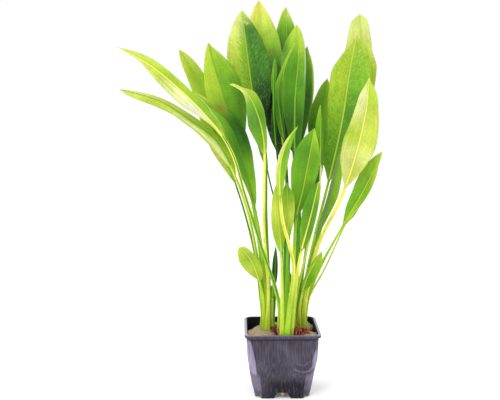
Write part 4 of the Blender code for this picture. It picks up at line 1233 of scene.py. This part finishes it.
def makeRoots():
    dice = random.Random(roots["seed"])
    points, edges, thick, hue = [], [], [], []

    def strand(path, radius, shade):
        first = len(points)
        points.extend(path)
        edges.extend((first + i, first + i + 1) for i in range(len(path) - 1))
        thick.extend(radius * mm * np.linspace(1.0, 0.5, len(path)))
        hue.extend([shade] * len(path))

    def near(spot, reach):
        return np.array([at + dice.uniform(-1, 1) * far for at, far in zip(spot, reach)])

    for start, startReach, end, endReach, high, count in rootTufts:
        for _ in range(count):
            a, c = near(start, startReach), near(end, endReach)
            middle = (a + c) / 2 + np.array([dice.gauss(0, roots["bend"]) for _ in range(2)])
            rise = dice.uniform(0.3, high)
            path = []
            for t in np.linspace(0, 1, roots["points"]):
                x, y = a * (1 - t) ** 2 + middle * 2 * t * (1 - t) + c * t ** 2
                z = sandHeight(x, y) + roots["aboveSand"]
                z += rise * math.sin(math.pi * t) * (1 - 0.3 * t)
                path.append((x, y, z + dice.uniform(-1, 1) * roots["unevenness"]))
            strand(path, roots["radius"] * dice.uniform(0.6, 1.3), dice.random())
    for x, y, length, shade in rootTips:
        top = np.array([x, y, roots["tipTop"]])
        strand([top, top + (0.3, -0.3, -length / 2), top + (0.6, -0.7, -length)], 1.0, shade)
    mesh = newMesh("rootPaths", points, edges, [])
    write(mesh, "thick", thick)
    write(mesh, "hue", hue)
    piece = grow(link("roots", mesh), rootTree(),
                 {"Sides": roots["sides"], "Finish": rootMaterial()})
    faceOut(piece.data)
    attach(piece, "root")
    print("roots:", len(piece.data.polygons), "faces")


# Floor, light and camera

studio = {
    "floorSize": 12.0,
    "cameraSpot": (-55.0, -1005.0, 358.0),
    "cameraPitch": -7.05,
    "cameraYaw": -0.97,
    "lens": 61.2,
    "sensor": 36.0,
    "worldLight": 1.0,
    "sideLight": 3.2,       # how much brighter the room is at either side
    "frontShade": 0.6,      # and how much dimmer towards the viewer
    "topLight": 0.35,
    "lampAim": (0.0, 0.0, 250.0),
}
# Name, place, power and size
lamps = (("key", (-620, -900, 1150), 11.0, 0.8), ("fill", (800, -700, 500), 2.0, 1.0))


def makeStudio():
    bpy.ops.mesh.primitive_plane_add(size=studio["floorSize"])
    floor = bpy.context.object
    floor.name = "floor"
    floor.data.materials.append(newMaterial("paleFloor").shade({
        "Base Color": (0.9, 0.9, 0.9), "Roughness": 0.9, "Specular IOR Level": 0.0,
        "Emission Color": (1.0, 1.0, 1.0), "Emission Strength": 0.1}))
    world = bpy.data.worlds.new("softRoom")
    world.use_nodes = True
    b, room = Bench(world.node_tree), world.node_tree.nodes["Background"]
    x, y, z = b.split(b.add("ShaderNodeTexCoord", out="Generated"))
    light = studio["worldLight"] + b.step(abs(x), 0.84, 0.96) * studio["sideLight"]
    light = light - b.step(-y, 0.1, 0.7) * b.step(z, 0.1, 0.3) * studio["frontShade"]
    light = light + b.step(z, 0.3, 0.9) * studio["topLight"]
    b.feed(room.inputs["Color"], (1.0, 1.0, 1.0))
    b.feed(room.inputs["Strength"], light)
    bpy.context.scene.world = world
    for name, spot, power, size in lamps:
        lamp = bpy.data.lights.new(name, "AREA")
        lamp.energy, lamp.size = power, size
        made = link(name, lamp)
        made.location = place(spot)
        aim = Vector(place(studio["lampAim"])) - made.location
        made.rotation_euler = aim.to_track_quat("-Z", "Y").to_euler()
    eye = bpy.data.cameras.new("camera")
    eye.lens, eye.sensor_width = studio["lens"], studio["sensor"]
    eye.clip_start, eye.clip_end = 0.01, 50
    made = link("camera", eye)
    made.location = place(studio["cameraSpot"])
    made.rotation_euler = (math.radians(90 + studio["cameraPitch"]), 0,
                           math.radians(studio["cameraYaw"]))
    bpy.context.scene.camera = made
    bpy.context.scene.view_settings.view_transform = "Standard"


makePot()
print("pot made")
makeSand()
skinTree = makeLeaves()
dressCrowns()
makeSheaths(skinTree)
print("crowns and sheaths made")
makeRoots()
makeStudio()
print("studio made")
